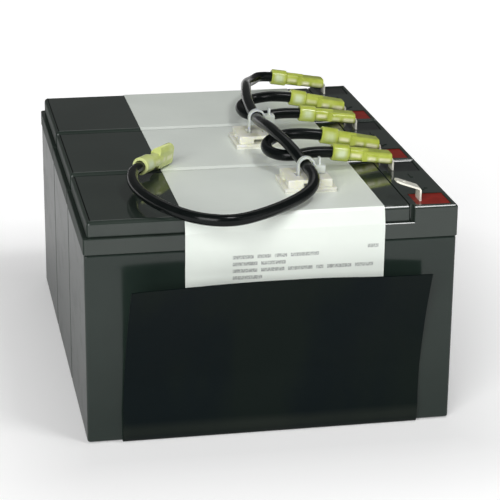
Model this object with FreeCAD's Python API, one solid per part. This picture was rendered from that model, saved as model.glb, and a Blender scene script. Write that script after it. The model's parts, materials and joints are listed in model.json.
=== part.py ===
import FreeCAD
import Part
import math
import os

# UPS battery cartridge: three sealed lead-acid batteries side by side, wired in series,
# with a wrap-around label, a black pull sheet and an output lead held by two cable ties.
#
# Millimetres, +Z up. The origin is on the support surface at the centre of the pack's
# footprint. X runs along each battery, with its terminals at +X. Y runs across the
# batteries, with the front at -Y.

Vector = FreeCAD.Vector

# ---- Driving dimensions: pack ---------------------------------------------------------
BATTERY_NAMES = ("front", "middle", "rear")
SHEET_THICKNESS = 0.5          # black pull sheet, which the batteries stand on
FILM_THICKNESS = 0.2           # printed label film

# ---- Battery case and lid --------------------------------------------------------------
LID_LENGTH = 151.6
LID_WIDTH = 65.0
BATTERY_HEIGHT = 93.5          # case floor to the top of the lid
SKIRT_HEIGHT = 6.7             # lid skirt that shows round the case
COVER_HEIGHT = 6.7             # vent cover and terminal block above the lid's ledge
CASE_INSET = 0.3               # lid edge to case wall
CASE_EDGE = 0.6                # chamfer round the case, just under the skirt
CORNER_RADIUS = 1.2
BASE_EDGE = 0.8                # rounding of the case's lower edges
CASE_WALL = 3.0
CASE_FLOOR = 3.0
CELL_COLUMNS = 3
CELL_ROWS = 2
PARTITION = 1.8
SKIRT_WALL = 1.8
SEAM_CLEARANCE = 0.1           # lid skirt to the case rim inside it
LID_PLATE = 2.5
BLOCK_SHOULDER = 18.2          # terminal block's part that is as wide as the lid
BLOCK_SLOT = 1.2               # slot between that part and the vent cover's wall
BLOCK_SLOT_DEPTH = 1.2         # beyond the vent cover's wall
BLOCK_EDGE = 0.9               # chamfer along the block's top edges

# ---- Vent cover and valves --------------------------------------------------------------
COVER_INSET = 1.75             # lid edge to the vent cover's wall
COVER_GROOVE = 0.3             # gap between the vent cover and the terminal block
COVER_EDGE = 1.1               # chamfer along the cover's outer top edges
COVER_WALL = 1.5
COVER_TOP = 1.8
CHIMNEY_DIAMETER = 9.6
CHIMNEY_BORE = 6.0
CHIMNEY_HEIGHT = 3.3
CHIMNEY_SHIFT = 8.0            # cell centre to its vent, away from the terminals
CAP_WALL = 1.2
CAP_CLEARANCE = 0.2

# ---- Cells --------------------------------------------------------------------------------
STACK_CLEARANCE = 0.4          # plate stack to the cell's walls
STACK_HEIGHT = 66.0
STRAP_WIDTH = 9.0
STRAP_HEIGHT = 5.0
STRAP_REACH = 14.0             # strap's length over each stack it joins
WINDOW_CLEARANCE = 0.3         # strap to the opening in the partition
POST_DIAMETER = 6.0
POST_CLEARANCE = 0.5

# ---- Terminals ----------------------------------------------------------------------------
TAB_WIDTH = 6.35
TAB_THICKNESS = 0.8
TAB_SETBACK = 13.8             # lid's +X end to the tab's upright leg
TAB_EDGE_DISTANCE = 10.9       # lid's long edge to the tab's centre
TAB_RISE = 4.9                 # lid top to the top of the bend
TAB_BEND = 1.0                 # bend radius at the middle of the sheet
TAB_LENGTH = 10.5              # bend to the blade's tip
TAB_CORNER = 1.3               # clipped corners of the tip
TAB_HOLE = 1.6
TAB_HOLE_SETBACK = 3.6         # tip to the hole's centre
BARE_TAB_TILT = 20.0           # degrees, the one tab with no connector
SEAL_LENGTH = 14.4
SEAL_WIDTH = 14.9
SEAL_DEPTH = 5.0
SEAL_EDGE_DISTANCE = 2.4       # lid's long edge to the seal
SEAL_SETBACK = 2.6             # block's inner face to the seal
SEAL_RECESS = 0.4              # seal's top below the lid's top
MARK_SIZE = 4.5
MARK_BAR = 1.1
MARK_RELIEF = 0.3
MARK_SETBACK = 8.8             # lid's +X end to the polarity marks
MARK_EDGE_DISTANCE = 23.8      # lid's long edge to the centre of each polarity mark

# ---- Connectors ---------------------------------------------------------------------------
# Distances along a connector run from its opening to the wire.
HOUSING_WIDTH = 9.6
HOUSING_THICKNESS = 4.6
HOUSING_LENGTH = 12.4
HOUSING_WALL = 0.7
SHOULDER_LENGTH = 2.4
WAIST_DIAMETER = 6.0
WAIST_LENGTH = 5.7
COLLAR_DIAMETER = 7.4
COLLAR_LENGTH = 7.5
COLLAR_EDGE = 0.4
BARREL_DIAMETER = 4.4
BARREL_CLEARANCE = 0.1
SOCKET_WIDTH = 7.5
SOCKET_THICKNESS = 2.6
SOCKET_SETBACK = 0.9
SOCKET_WALL = 0.5
BLADE_CLEARANCE = 0.1
CONNECTOR_GAP = 1.0            # tab's upright leg to the connector's opening

# ---- Leads --------------------------------------------------------------------------------
WIRE_DIAMETER = 4.8
WIRE_CLEARANCE = 0.15          # insulation to the collar's bore
WIRE_LEAD_IN = 13.0            # first run of a wire, along its connector
ARC_SHARE = 0.45               # share of the shorter run that each arc uses

# ---- Label and pull sheet -------------------------------------------------------------------
LABEL_LEFT = -35.5
LABEL_RIGHT = 45.5
LABEL_DROP = 55.0              # label's lower edge below the lid's top, front and rear
LABEL_DIP = 0.4                # crease over each gap between two vent covers
LABEL_BEND = 0.6
LABEL_CLEARANCE = 0.1          # film to the edges that it bends round
LABEL_STEP = 0.6               # film leaves the lid's skirt this far below it
LABEL_RETURN = 11.0            # and meets the case this far below the skirt
SHEET_LEFT = -61.3
SHEET_RIGHT = 61.3
SHEET_LEAN_LEFT = 15.6         # the free top edge's distance from the case
SHEET_LEAN_RIGHT = 8.0
SHEET_TOP_LEFT = 69.8
SHEET_TOP_RIGHT = 67.9
SHEET_SLANT = 2.4              # the free top edge's shift towards +X
SHEET_STRAIGHT = 14.0          # the stretch that lies against the case

# ---- Tie mounts and ties ----------------------------------------------------------------------
MOUNT_SIZE = 21.6
MOUNT_PLATE = 1.1
MOUNT_BLOCK = 18.6
MOUNT_BLOCK_HEIGHT = 3.2
MOUNT_TUNNEL_WIDTH = 5.5
MOUNT_TUNNEL_HEIGHT = 1.7
MOUNT_SADDLE = 4.6             # width of the bridge that the tie passes under
MOUNT_SLOT = 2.4               # opening beside the bridge, which the tie comes up through
MOUNT_EDGE = 0.5
PAD_THICKNESS = 0.8
TIE_WIDTH = 2.5
TIE_THICKNESS = 0.9
TIE_CLEARANCE = 0.5            # tie to the wire that it holds
TIE_HEAD = (4.4, 4.6, 3.4)     # along X, Y and Z
TIE_TAIL = 3.0

# ---- Joining tape -----------------------------------------------------------------------------
TAPE_LENGTH = 110.0
TAPE_HEIGHT = 60.0
TAPE_BOTTOM = 8.0

# ---- Places that follow from the sizes ----------------------------------------------------------
PITCH = LID_WIDTH
BASE_Z = SHEET_THICKNESS
TOP_Z = BASE_Z + BATTERY_HEIGHT
LEDGE_Z = TOP_Z - COVER_HEIGHT
SKIRT_Z = LEDGE_Z - SKIRT_HEIGHT
RIM_Z = LEDGE_Z - LID_PLATE
SHOULDER_X = LID_LENGTH / 2 - BLOCK_SHOULDER
BLOCK_X = SHOULDER_X - BLOCK_SLOT
TAB_X = LID_LENGTH / 2 - TAB_SETBACK
MARK_X = LID_LENGTH / 2 - MARK_SETBACK
PACK_HALF_WIDTH = PITCH * len(BATTERY_NAMES) / 2
CASE_HALF_LENGTH = LID_LENGTH / 2 - CASE_INSET
CASE_HALF_WIDTH = LID_WIDTH / 2 - CASE_INSET
FACE_Y = PACK_HALF_WIDTH - CASE_INSET
BLADE_Z = TOP_Z + TAB_RISE - TAB_THICKNESS / 2
CONNECTOR_LENGTH = HOUSING_LENGTH + WAIST_LENGTH + COLLAR_LENGTH
WIRE_SEAT = HOUSING_LENGTH + WAIST_LENGTH       # where the insulation ends in the collar
LABEL_TOP = TOP_Z + FILM_THICKNESS

BATTERY_Y = {name: (i - (len(BATTERY_NAMES) - 1) / 2) * PITCH for i, name in enumerate(BATTERY_NAMES)}
TAB_OFFSET = LID_WIDTH / 2 - TAB_EDGE_DISTANCE
POLARITY_SIDE = {"positive": -1, "negative": 1}

# Connectors on tabs: name, battery, polarity and the tilt of its tab in degrees.
FITTED_CONNECTORS = (
    ("front_negative", "front", "negative", 8.0),
    ("middle_positive", "middle", "positive", 11.0),
    ("middle_negative", "middle", "negative", 7.0),
    ("rear_positive", "rear", "positive", 11.0),
    ("rear_negative", "rear", "negative", 9.0),
)
TAB_TILT = {(battery, polarity): tilt for _, battery, polarity, tilt in FITTED_CONNECTORS}

# The loose connector at the output lead's end lies on its edge on the lid.
LOOSE_MOUTH = Vector(-46.3, -45.5, 100.2)       # centre of its wire end
LOOSE_DIRECTION = Vector(0.585, 0.80, -0.04)    # from the wire end to the opening
LOOSE_ROLL = 78.0                               # degrees, from flat

# Routes between the connectors' wire ends, as points chosen one by one.
REAR_JUMPER_POINTS = (
    (18.0, 45.6, 102.8), (11.0, 38.6, 101.6), (11.0, 26.6, 101.0), (17.6, 19.4, 101.3),
)
FRONT_JUMPER_POINTS = (
    (18.0, -19.0, 103.6), (10.0, -26.2, 102.0), (10.0, -38.6, 101.4), (17.4, -45.8, 101.6),
)
LEAD_POINTS = (
    (24.4, 77.0, 103.4), (19.0, 64.0, 105.8), (16.3, 49.5, 107.5), (13.4, 33.0, 107.3),
    (12.3, 17.0, 106.1), (12.3, 3.0, 105.3), (12.0, -10.0, 106.9), (12.6, -22.5, 108.5),
    (14.2, -35.0, 108.2), (16.6, -47.5, 107.1), (20.4, -61.5, 102.6), (21.4, -75.0, 101.7),
    (18.0, -86.2, 99.8), (8.5, -95.8, 98.2), (-4.0, -105.2, 97.3), (-18.4, -113.8, 97.3),
    (-32.0, -111.4, 98.0), (-42.5, -100.0, 99.0), (-48.8, -87.0, 99.8), (-51.6, -74.5, 100.0),
    (-52.0, -62.5, 100.4),
)
# Each tie holds the output lead over its mount: mount centre and the wire's height there.
TIE_MOUNTS = {
    "rear": (12.6, 4.0, 105.4),
    "front": (20.4, -63.0, 102.8),
}
TIE_HEAD_HEIGHT = {"rear": -0.6, "front": -1.4}  # head's centre from the wire's centre


# ---- General shapes ------------------------------------------------------------------------------
def block(x0, x1, y0, y1, z0, z1):
    """Box between two corners."""
    return Part.makeBox(x1 - x0, y1 - y0, z1 - z0, Vector(x0, y0, z0))


def rounded_block(x0, x1, y0, y1, z0, z1, radius):
    """Box with its upright edges rounded."""
    solid = block(x0, x1, y0, y1, z0, z1)
    upright = [e for e in solid.Edges if abs(e.tangentAt(e.FirstParameter).z) > 0.99]
    return solid.makeFillet(radius, upright)


def edges_at(solid, z):
    """Edges of a solid that lie wholly at one height."""
    return [e for e in solid.Edges if all(abs(v.Z - z) < 1e-6 for v in e.Vertexes)
            and abs(e.CenterOfMass.z - z) < 1e-6]


def fuse(shapes):
    """One solid from shapes that touch or overlap."""
    merged = shapes[0].multiFuse(list(shapes[1:])) if len(shapes) > 1 else shapes[0]
    return merged.removeSplitter()


def sheet_section(points, radii, thickness):
    """Closed outline in the YZ plane of a bent sheet, from its middle line and bend radii."""
    flat = [Vector(0, y, z) for y, z in points]
    sides = []
    for sign in (1, -1):
        edges = []
        previous = None
        for i, point in enumerate(flat):
            ahead = (flat[i + 1] - point).normalize() if i + 1 < len(flat) else None
            behind = (point - flat[i - 1]).normalize() if i else None
            if ahead is None or behind is None:
                along = ahead or behind
                shifted = point + Vector(0, -along.z, along.y) * (sign * thickness / 2)
                if previous is not None:
                    edges.append((previous, shifted))
                previous = shifted
                continue
            turn = behind.getAngle(ahead)
            side = 1 if behind.y * ahead.z - behind.z * ahead.y > 0 else -1
            radius = radii[i - 1]
            reach = radius * math.tan(turn / 2)
            normal = Vector(0, -behind.z, behind.y) * side
            centre = point - behind * reach + normal * radius
            scale = (radius - sign * side * thickness / 2) / radius
            corner = (point - centre).normalize() * radius
            first, middle, last = (centre + v * scale for v in
                                   (point - behind * reach - centre, corner,
                                    point + ahead * reach - centre))
            edges.append((previous, first))
            edges.append((first, middle, last))
            previous = last
        sides.append(edges)
    outline = sides[0]
    outline.append((sides[0][-1][-1], sides[1][-1][-1]))
    outline.extend(tuple(reversed(edge)) for edge in reversed(sides[1]))
    outline.append((sides[1][0][0], sides[0][0][0]))
    made = [Part.LineSegment(*e).toShape() if len(e) == 2 else Part.Arc(*e).toShape()
            for e in outline]
    return Part.Wire(made)


def bent_sheet(points, radii, thickness, x0, x1):
    """Sheet of one section, from x0 to x1."""
    wire = sheet_section(points, radii, thickness)
    wire.translate(Vector(x0, 0, 0))
    return Part.Face(wire).extrude(Vector(x1 - x0, 0, 0))


def stadium(width, thickness, x0, x1):
    """Flat bar along X with round long edges: width along Y, thickness along Z."""
    half = (width - thickness) / 2
    middle = block(x0, x1, -half, half, -thickness / 2, thickness / 2)
    rounds = [Part.makeCylinder(thickness / 2, x1 - x0, Vector(x0, y, 0), Vector(1, 0, 0))
              for y in (-half, half)]
    return fuse([middle] + rounds)


def rod(diameter, x0, x1):
    """Round bar along X."""
    return Part.makeCylinder(diameter / 2, x1 - x0, Vector(x0, 0, 0), Vector(1, 0, 0))


# ---- Battery, about its own centre -----------------------------------------------------------------
def cell_grid():
    """Cell pockets as (column, row, x0, x1, y0, y1)."""
    x_inner = CASE_HALF_LENGTH - CASE_WALL
    y_inner = CASE_HALF_WIDTH - CASE_WALL
    length = (2 * x_inner - (CELL_COLUMNS - 1) * PARTITION) / CELL_COLUMNS
    width = (2 * y_inner - (CELL_ROWS - 1) * PARTITION) / CELL_ROWS
    for column in range(CELL_COLUMNS):
        for row in range(CELL_ROWS):
            x0 = -x_inner + column * (length + PARTITION)
            y0 = -y_inner + row * (width + PARTITION)
            yield column, row, x0, x0 + length, y0, y0 + width


def series_order():
    """Cells in series order: along the front row from the positive terminal and back."""
    front = [(column, 0) for column in range(CELL_COLUMNS - 1, -1, -1)]
    rear = [(column, 1) for column in range(CELL_COLUMNS)]
    return front + rear


def strap_boxes():
    """Boxes (x0, x1, y0, y1) of the straps that join neighbouring cells in series."""
    cells = {(c, r): (x0, x1, y0, y1) for c, r, x0, x1, y0, y1 in cell_grid()}
    order = series_order()
    for here, there in zip(order, order[1:]):
        a, b = cells[here], cells[there]
        if here[1] == there[1]:
            wall = (min(a[1], b[1]) + max(a[0], b[0])) / 2
            middle = (a[2] + a[3]) / 2
            yield (wall - STRAP_REACH, wall + STRAP_REACH,
                   middle - STRAP_WIDTH / 2, middle + STRAP_WIDTH / 2)
        else:
            middle = a[0] + CHIMNEY_SHIFT + STRAP_WIDTH / 2
            yield (middle - STRAP_WIDTH / 2, middle + STRAP_WIDTH / 2,
                   -STRAP_REACH, STRAP_REACH)


STRAP_Z = BASE_Z + CASE_FLOOR + STACK_HEIGHT
WELL_Z = TOP_Z - SEAL_DEPTH
POST_TOP = WELL_Z + 1.0


def make_container():
    """Case with six open cells and windows for the straps."""
    body = rounded_block(-CASE_HALF_LENGTH, CASE_HALF_LENGTH, -CASE_HALF_WIDTH, CASE_HALF_WIDTH,
                         BASE_Z, SKIRT_Z, CORNER_RADIUS)
    body = body.makeFillet(BASE_EDGE, edges_at(body, BASE_Z))
    body = body.makeChamfer(CASE_EDGE, edges_at(body, SKIRT_Z))
    inset = SKIRT_WALL + SEAM_CLEARANCE
    rim = block(inset - LID_LENGTH / 2, LID_LENGTH / 2 - inset,
                inset - LID_WIDTH / 2, LID_WIDTH / 2 - inset, SKIRT_Z, RIM_Z)
    cuts = [block(x0, x1, y0, y1, BASE_Z + CASE_FLOOR, RIM_Z)
            for _, _, x0, x1, y0, y1 in cell_grid()]
    gap = WINDOW_CLEARANCE
    for x0, x1, y0, y1 in strap_boxes():
        cuts.append(block(x0 - gap, x1 + gap, y0 - gap, y1 + gap,
                          STRAP_Z, STRAP_Z + STRAP_HEIGHT + gap))
    return fuse([body, rim]).cut(Part.makeCompound(cuts))


def vent_places():
    """Centres of the six valve chimneys."""
    for _, _, x0, x1, y0, y1 in cell_grid():
        yield (x0 + x1) / 2 - CHIMNEY_SHIFT, (y0 + y1) / 2


def seal_box(side, z0, z1):
    """Space of one terminal's well. The side is -1 for the front half and 1 for the rear."""
    x0 = BLOCK_X + SEAL_SETBACK
    outer = side * (LID_WIDTH / 2 - SEAL_EDGE_DISTANCE)
    inner = outer - side * SEAL_WIDTH
    return block(x0, x0 + SEAL_LENGTH, min(outer, inner), max(outer, inner), z0, z1)


def polarity_mark(side):
    """Raised plus or minus beside its terminal."""
    y = side * (LID_WIDTH / 2 - MARK_EDGE_DISTANCE)
    half, bar, top = MARK_SIZE / 2, MARK_BAR / 2, TOP_Z + MARK_RELIEF
    across = block(MARK_X - bar, MARK_X + bar, y - half, y + half, TOP_Z - MARK_RELIEF, top)
    if side == POLARITY_SIDE["negative"]:
        return across
    return fuse([across, block(MARK_X - half, MARK_X + half, y - bar, y + bar,
                               TOP_Z - MARK_RELIEF, top)])


def make_lid():
    """Lid with its skirt, ledge, valve chimneys and the terminal block with two wells."""
    x, y = LID_LENGTH / 2, LID_WIDTH / 2
    body = rounded_block(-x, x, -y, y, SKIRT_Z, TOP_Z, CORNER_RADIUS)
    body = body.makeChamfer(BLOCK_EDGE, edges_at(body, TOP_Z))
    body = body.cut(block(-x, BLOCK_X, -y, y, LEDGE_Z, TOP_Z))
    body = body.cut(block(SKIRT_WALL - x, x - SKIRT_WALL, SKIRT_WALL - y, y - SKIRT_WALL,
                          SKIRT_Z, RIM_Z))
    chimneys = []
    bores = []
    for cx, cy in vent_places():
        place = Vector(cx, cy, LEDGE_Z)
        chimneys.append(Part.makeCylinder(CHIMNEY_DIAMETER / 2, CHIMNEY_HEIGHT, place))
        bores.append(Part.makeCylinder(CHIMNEY_BORE / 2, LID_PLATE + CHIMNEY_HEIGHT,
                                       Vector(cx, cy, RIM_Z)))
    wells = []
    for side in POLARITY_SIDE.values():
        wells.append(seal_box(side, WELL_Z, TOP_Z))
        hole = Vector(TAB_X, side * TAB_OFFSET, RIM_Z)
        wells.append(Part.makeCylinder(POST_DIAMETER / 2 + POST_CLEARANCE, WELL_Z - RIM_Z, hole))
    wall = y - COVER_INSET - BLOCK_SLOT_DEPTH
    wells += [block(BLOCK_X, SHOULDER_X, y0, y1, LEDGE_Z, TOP_Z)
              for y0, y1 in ((-y, -wall), (wall, y))]
    marks = [polarity_mark(side) for side in POLARITY_SIDE.values()]
    return fuse([body] + chimneys + marks).cut(Part.makeCompound(bores + wells))


def make_vent_cover():
    """Raised cover over the valves, open underneath."""
    x0 = COVER_INSET - LID_LENGTH / 2
    x1 = BLOCK_X - COVER_GROOVE
    y = LID_WIDTH / 2 - COVER_INSET
    body = rounded_block(x0, x1 + BLOCK_SHOULDER, -y, y, LEDGE_Z, TOP_Z, CORNER_RADIUS)
    body = body.makeChamfer(COVER_EDGE, edges_at(body, TOP_Z))
    body = body.common(block(x0, x1, -y, y, LEDGE_Z, TOP_Z))
    return body.cut(block(x0 + COVER_WALL, x1 - COVER_WALL, COVER_WALL - y, y - COVER_WALL,
                          LEDGE_Z, TOP_Z - COVER_TOP))


def make_valve_caps():
    """Six rubber caps, each over its chimney."""
    radius = CHIMNEY_DIAMETER / 2 + CAP_CLEARANCE
    caps = []
    for cx, cy in vent_places():
        place = Vector(cx, cy, LEDGE_Z + CAP_CLEARANCE)
        height = CHIMNEY_HEIGHT - CAP_CLEARANCE
        outer = Part.makeCylinder(radius + CAP_WALL, height + CAP_WALL, place)
        caps.append(outer.cut(Part.makeCylinder(radius, height, place)))
    return Part.makeCompound(caps)


def make_cell_stacks():
    """Six stacks of plates and glass mat, one in each cell."""
    gap = STACK_CLEARANCE
    return Part.makeCompound([block(x0 + gap, x1 - gap, y0 + gap, y1 - gap,
                                    BASE_Z + CASE_FLOOR, STRAP_Z)
                              for _, _, x0, x1, y0, y1 in cell_grid()])


def make_cell_straps():
    """Lead straps between the cells, and the two end straps with their posts."""
    solids = [block(x0, x1, y0, y1, STRAP_Z, STRAP_Z + STRAP_HEIGHT)
              for x0, x1, y0, y1 in strap_boxes()]
    for side in POLARITY_SIDE.values():
        y = side * TAB_OFFSET
        foot = block(TAB_X - STRAP_WIDTH / 2, TAB_X + STRAP_WIDTH / 2,
                     y - STRAP_WIDTH / 2, y + STRAP_WIDTH / 2, STRAP_Z, STRAP_Z + STRAP_HEIGHT)
        post = Part.makeCylinder(POST_DIAMETER / 2, POST_TOP - STRAP_Z, Vector(TAB_X, y, STRAP_Z))
        solids.append(fuse([foot, post]))
    return Part.makeCompound(solids)


def make_tab(side, tilt):
    """Bent blade terminal: an upright leg on the post and a blade that points at -X."""
    turn = math.radians(90 - tilt)
    reach = TAB_BEND * math.tan(turn / 2)
    corner = TOP_Z + TAB_RISE - TAB_THICKNESS / 2
    angle = math.radians(tilt)
    tip = (TAB_LENGTH * math.cos(angle), corner + TAB_LENGTH * math.sin(angle))
    strip = sheet_section([(0, POST_TOP), (0, corner), tip], [TAB_BEND], TAB_THICKNESS)
    strip = Part.Face(strip).extrude(Vector(TAB_WIDTH, 0, 0))
    half = TAB_WIDTH / 2
    cut = TAB_CORNER
    tools = []
    for edge in (0, TAB_WIDTH):
        inward = 1 if edge == 0 else -1
        outline = [Vector(edge, TAB_LENGTH, 0), Vector(edge, TAB_LENGTH - cut, 0),
                   Vector(edge + inward * cut, TAB_LENGTH, 0), Vector(edge, TAB_LENGTH, 0)]
        tools.append(Part.Face(Part.makePolygon(outline)).extrude(Vector(0, 0, 2 * TAB_THICKNESS)))
    tools.append(Part.makeCylinder(TAB_HOLE / 2, 2 * TAB_THICKNESS,
                                   Vector(half, TAB_LENGTH - TAB_HOLE_SETBACK, 0)))
    for tool in tools:
        tool.translate(Vector(0, 0, -TAB_THICKNESS))
        tool.rotate(Vector(), Vector(1, 0, 0), tilt)
        tool.translate(Vector(0, 0, corner))
    strip = strip.cut(Part.makeCompound(tools))
    strip.rotate(Vector(), Vector(0, 0, 1), 90)
    strip.translate(Vector(TAB_X, side * TAB_OFFSET - half, 0))
    return strip


def make_seal(side, tab):
    """Sealing resin that fills a terminal's well round the post and the tab."""
    post = Part.makeCylinder(POST_DIAMETER / 2, POST_TOP - WELL_Z,
                             Vector(TAB_X, side * TAB_OFFSET, WELL_Z))
    return seal_box(side, WELL_Z, TOP_Z - SEAL_RECESS).cut(Part.makeCompound([post, tab]))


def battery_nodes(name):
    """Every piece of one battery, by node name."""
    nodes = {
        "battery_container": make_container(),
        "battery_lid": make_lid(),
        "vent_cover": make_vent_cover(),
        "valve_caps": make_valve_caps(),
        "cell_stacks": make_cell_stacks(),
        "cell_straps": make_cell_straps(),
    }
    for polarity, side in POLARITY_SIDE.items():
        tab = make_tab(side, TAB_TILT.get((name, polarity), BARE_TAB_TILT))
        nodes[polarity + "_terminal"] = tab
        nodes[polarity + "_seal"] = make_seal(side, tab)
    for shape in nodes.values():
        shape.translate(Vector(0, BATTERY_Y[name], 0))
    return {name + "_" + node: shape for node, shape in nodes.items()}


# ---- Connectors ------------------------------------------------------------------------------
def make_sleeve():
    """Nylon sleeve along +X from its opening: flat housing, round waist and wire collar."""
    waist_end = HOUSING_LENGTH + WAIST_LENGTH
    w, n = HOUSING_WIDTH / 2, WAIST_DIAMETER / 2
    plan = [(0, -w), (HOUSING_LENGTH - SHOULDER_LENGTH, -w), (HOUSING_LENGTH, -n),
            (HOUSING_LENGTH, n), (HOUSING_LENGTH - SHOULDER_LENGTH, w), (0, w), (0, -w)]
    outline = Part.Face(Part.makePolygon([Vector(x, y, -HOUSING_THICKNESS) for x, y in plan]))
    housing = stadium(HOUSING_WIDTH, HOUSING_THICKNESS, 0, HOUSING_LENGTH)
    housing = housing.common(outline.extrude(Vector(0, 0, 2 * HOUSING_THICKNESS)))
    collar = rod(COLLAR_DIAMETER, waist_end, CONNECTOR_LENGTH)
    ends = [e for e in collar.Edges if isinstance(e.Curve, Part.Circle)]
    collar = collar.makeChamfer(COLLAR_EDGE, ends)
    waist = rod(WAIST_DIAMETER, HOUSING_LENGTH - SHOULDER_LENGTH, waist_end)
    body = fuse([housing, waist, collar])
    inner = stadium(HOUSING_WIDTH - 2 * HOUSING_WALL, HOUSING_THICKNESS - 2 * HOUSING_WALL,
                    0, HOUSING_LENGTH - SHOULDER_LENGTH)
    throat = rod(BARREL_DIAMETER + 2 * BARREL_CLEARANCE, HOUSING_LENGTH - SHOULDER_LENGTH,
                 waist_end)
    mouth = rod(WIRE_DIAMETER + 2 * WIRE_CLEARANCE, waist_end, CONNECTOR_LENGTH)
    return body.cut(Part.makeCompound([inner, throat, mouth]))


def make_receptacle():
    """Brass receptacle along +X: a flat socket for the blade and a crimped barrel."""
    x0 = SOCKET_SETBACK
    x1 = HOUSING_LENGTH - SHOULDER_LENGTH
    half, depth = SOCKET_WIDTH / 2, SOCKET_THICKNESS / 2
    socket = block(x0, x1, -half, half, -depth, depth)
    socket = socket.makeFillet(SOCKET_WALL, [e for e in socket.Edges if e.Length > x1 - x0 - 0.01
                                             and abs(e.tangentAt(e.FirstParameter).x) > 0.99])
    blade = TAB_WIDTH / 2 + BLADE_CLEARANCE
    gap = TAB_THICKNESS / 2 + BLADE_CLEARANCE
    slot = block(x0, x1 - SOCKET_WALL, -blade, blade, -gap, gap)
    barrel = rod(BARREL_DIAMETER, x1, WIRE_SEAT)
    return fuse([socket.cut(slot), barrel])


def opening_place(battery, polarity, tilt):
    """Placement that puts a connector's opening over a tab, along the tab's blade."""
    y = BATTERY_Y[battery] + POLARITY_SIDE[polarity] * TAB_OFFSET
    fold = FreeCAD.Rotation(Vector(0, 0, 1), 180)
    lean = FreeCAD.Rotation(Vector(0, 1, 0), tilt)
    base = Vector(TAB_X, y, BLADE_Z) + lean.multVec(Vector(-CONNECTOR_GAP, 0, 0))
    return FreeCAD.Placement(base, lean.multiply(fold))


def loose_place():
    """Placement of the loose connector, whose local +X runs towards its wire end."""
    along = Vector(LOOSE_DIRECTION).normalize()
    aim = FreeCAD.Rotation(Vector(1, 0, 0), -along)
    roll = FreeCAD.Rotation(-along, LOOSE_ROLL)
    return FreeCAD.Placement(LOOSE_MOUTH + along * CONNECTOR_LENGTH, roll.multiply(aim))


CONNECTOR_PLACES = {name: opening_place(battery, polarity, tilt)
                    for name, battery, polarity, tilt in FITTED_CONNECTORS}
CONNECTOR_PLACES["output_lead"] = loose_place()


def wire_entry(name):
    """Where a wire ends inside a connector, and the end of its first run along it."""
    place = CONNECTOR_PLACES[name]
    return [place.multVec(Vector(x, 0, 0)) for x in (WIRE_SEAT, WIRE_SEAT + WIRE_LEAD_IN)]


# ---- Leads -------------------------------------------------------------------------------------
def round_route(points):
    """Wire of straight runs and tangent arcs through a route, with the arcs' radii."""
    edges = []
    radii = []
    start = points[0]
    for before, corner, after in zip(points, points[1:], points[2:]):
        back = before - corner
        ahead = after - corner
        turn = math.pi - back.getAngle(ahead)
        reach = ARC_SHARE * min(back.Length, ahead.Length)
        radius = reach / math.tan(turn / 2)
        back.normalize()
        ahead.normalize()
        first = corner + back * reach
        last = corner + ahead * reach
        inward = (back + ahead).normalize()
        middle = corner + inward * (radius / math.cos(turn / 2) - radius)
        edges.append(Part.LineSegment(start, first).toShape())
        edges.append(Part.Arc(first, middle, last).toShape())
        radii.append(radius)
        start = last
    edges.append(Part.LineSegment(start, points[-1]).toShape())
    return Part.Wire(edges), radii


def make_wire(name, start, points, end):
    """Insulated wire between two connectors."""
    route = wire_entry(start) + [Vector(*p) for p in points] + wire_entry(end)[::-1]
    path, radii = round_route(route)
    section = Part.Wire(Part.makeCircle(WIRE_DIAMETER / 2, route[0], route[1] - route[0]))
    tube = path.makePipeShell([section], True, True)
    expected = math.pi * WIRE_DIAMETER ** 2 / 4 * path.Length
    print(name, "length %.1f mm, volume ratio %.4f" % (path.Length, tube.Volume / expected))
    for p in route[:2] + route[-2:]:
        print("   end point %.3f %.3f %.3f" % tuple(p))
    print("   radii in diameters", [round(r / WIRE_DIAMETER, 1) for r in radii])
    return tube


# ---- Label, pull sheet and tape ------------------------------------------------------------------
def make_label():
    """Film over the top of all three batteries and down the front and rear."""
    half = FILM_THICKNESS / 2
    top = TOP_Z + half
    skirt = PACK_HALF_WIDTH + half
    face = FACE_Y + half
    edge = COVER_INSET + COVER_EDGE
    slope = (half + LABEL_CLEARANCE) * math.sqrt(2)
    brow = PACK_HALF_WIDTH - edge + slope - half + LABEL_CLEARANCE
    points = [(-face, TOP_Z - LABEL_DROP), (-face, SKIRT_Z - LABEL_RETURN),
              (-skirt, SKIRT_Z - LABEL_STEP), (-skirt, LEDGE_Z + half),
              (-brow - COVER_EDGE, top - COVER_EDGE), (-brow, top)]
    gap = edge - LABEL_CLEARANCE
    for seam in range(1, len(BATTERY_NAMES)):
        y = seam * PITCH - PACK_HALF_WIDTH
        points += [(y - gap, top), (y, top - LABEL_DIP), (y + gap, top)]
    points += [(-y, z) for y, z in reversed(points[:6])]
    return bent_sheet(points, [LABEL_BEND] * (len(points) - 2), FILM_THICKNESS,
                      LABEL_LEFT, LABEL_RIGHT)


def sheet_profile(x, lean, top):
    """Section of the pull sheet's free part at one side, curved outwards and slanted."""
    y_face = -FACE_Y
    rise = top - SHEET_STRAIGHT
    radius = (rise * rise + lean * lean) / (2 * lean)
    sweep = math.asin(rise / radius)
    arcs = []
    for r in (radius, radius - SHEET_THICKNESS):
        arcs.append([Vector(x + SHEET_SLANT * r * math.sin(a) / rise,
                            y_face - radius + r * math.cos(a), SHEET_STRAIGHT + r * math.sin(a))
                     for a in (0, sweep / 2, sweep)])
    inner, outer = arcs
    edges = [
        Part.Arc(*inner).toShape(),
        Part.LineSegment(inner[2], outer[2]).toShape(),
        Part.Arc(*reversed(outer)).toShape(),
        Part.LineSegment(outer[0], inner[0]).toShape(),
    ]
    return Part.Wire(edges)


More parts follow.
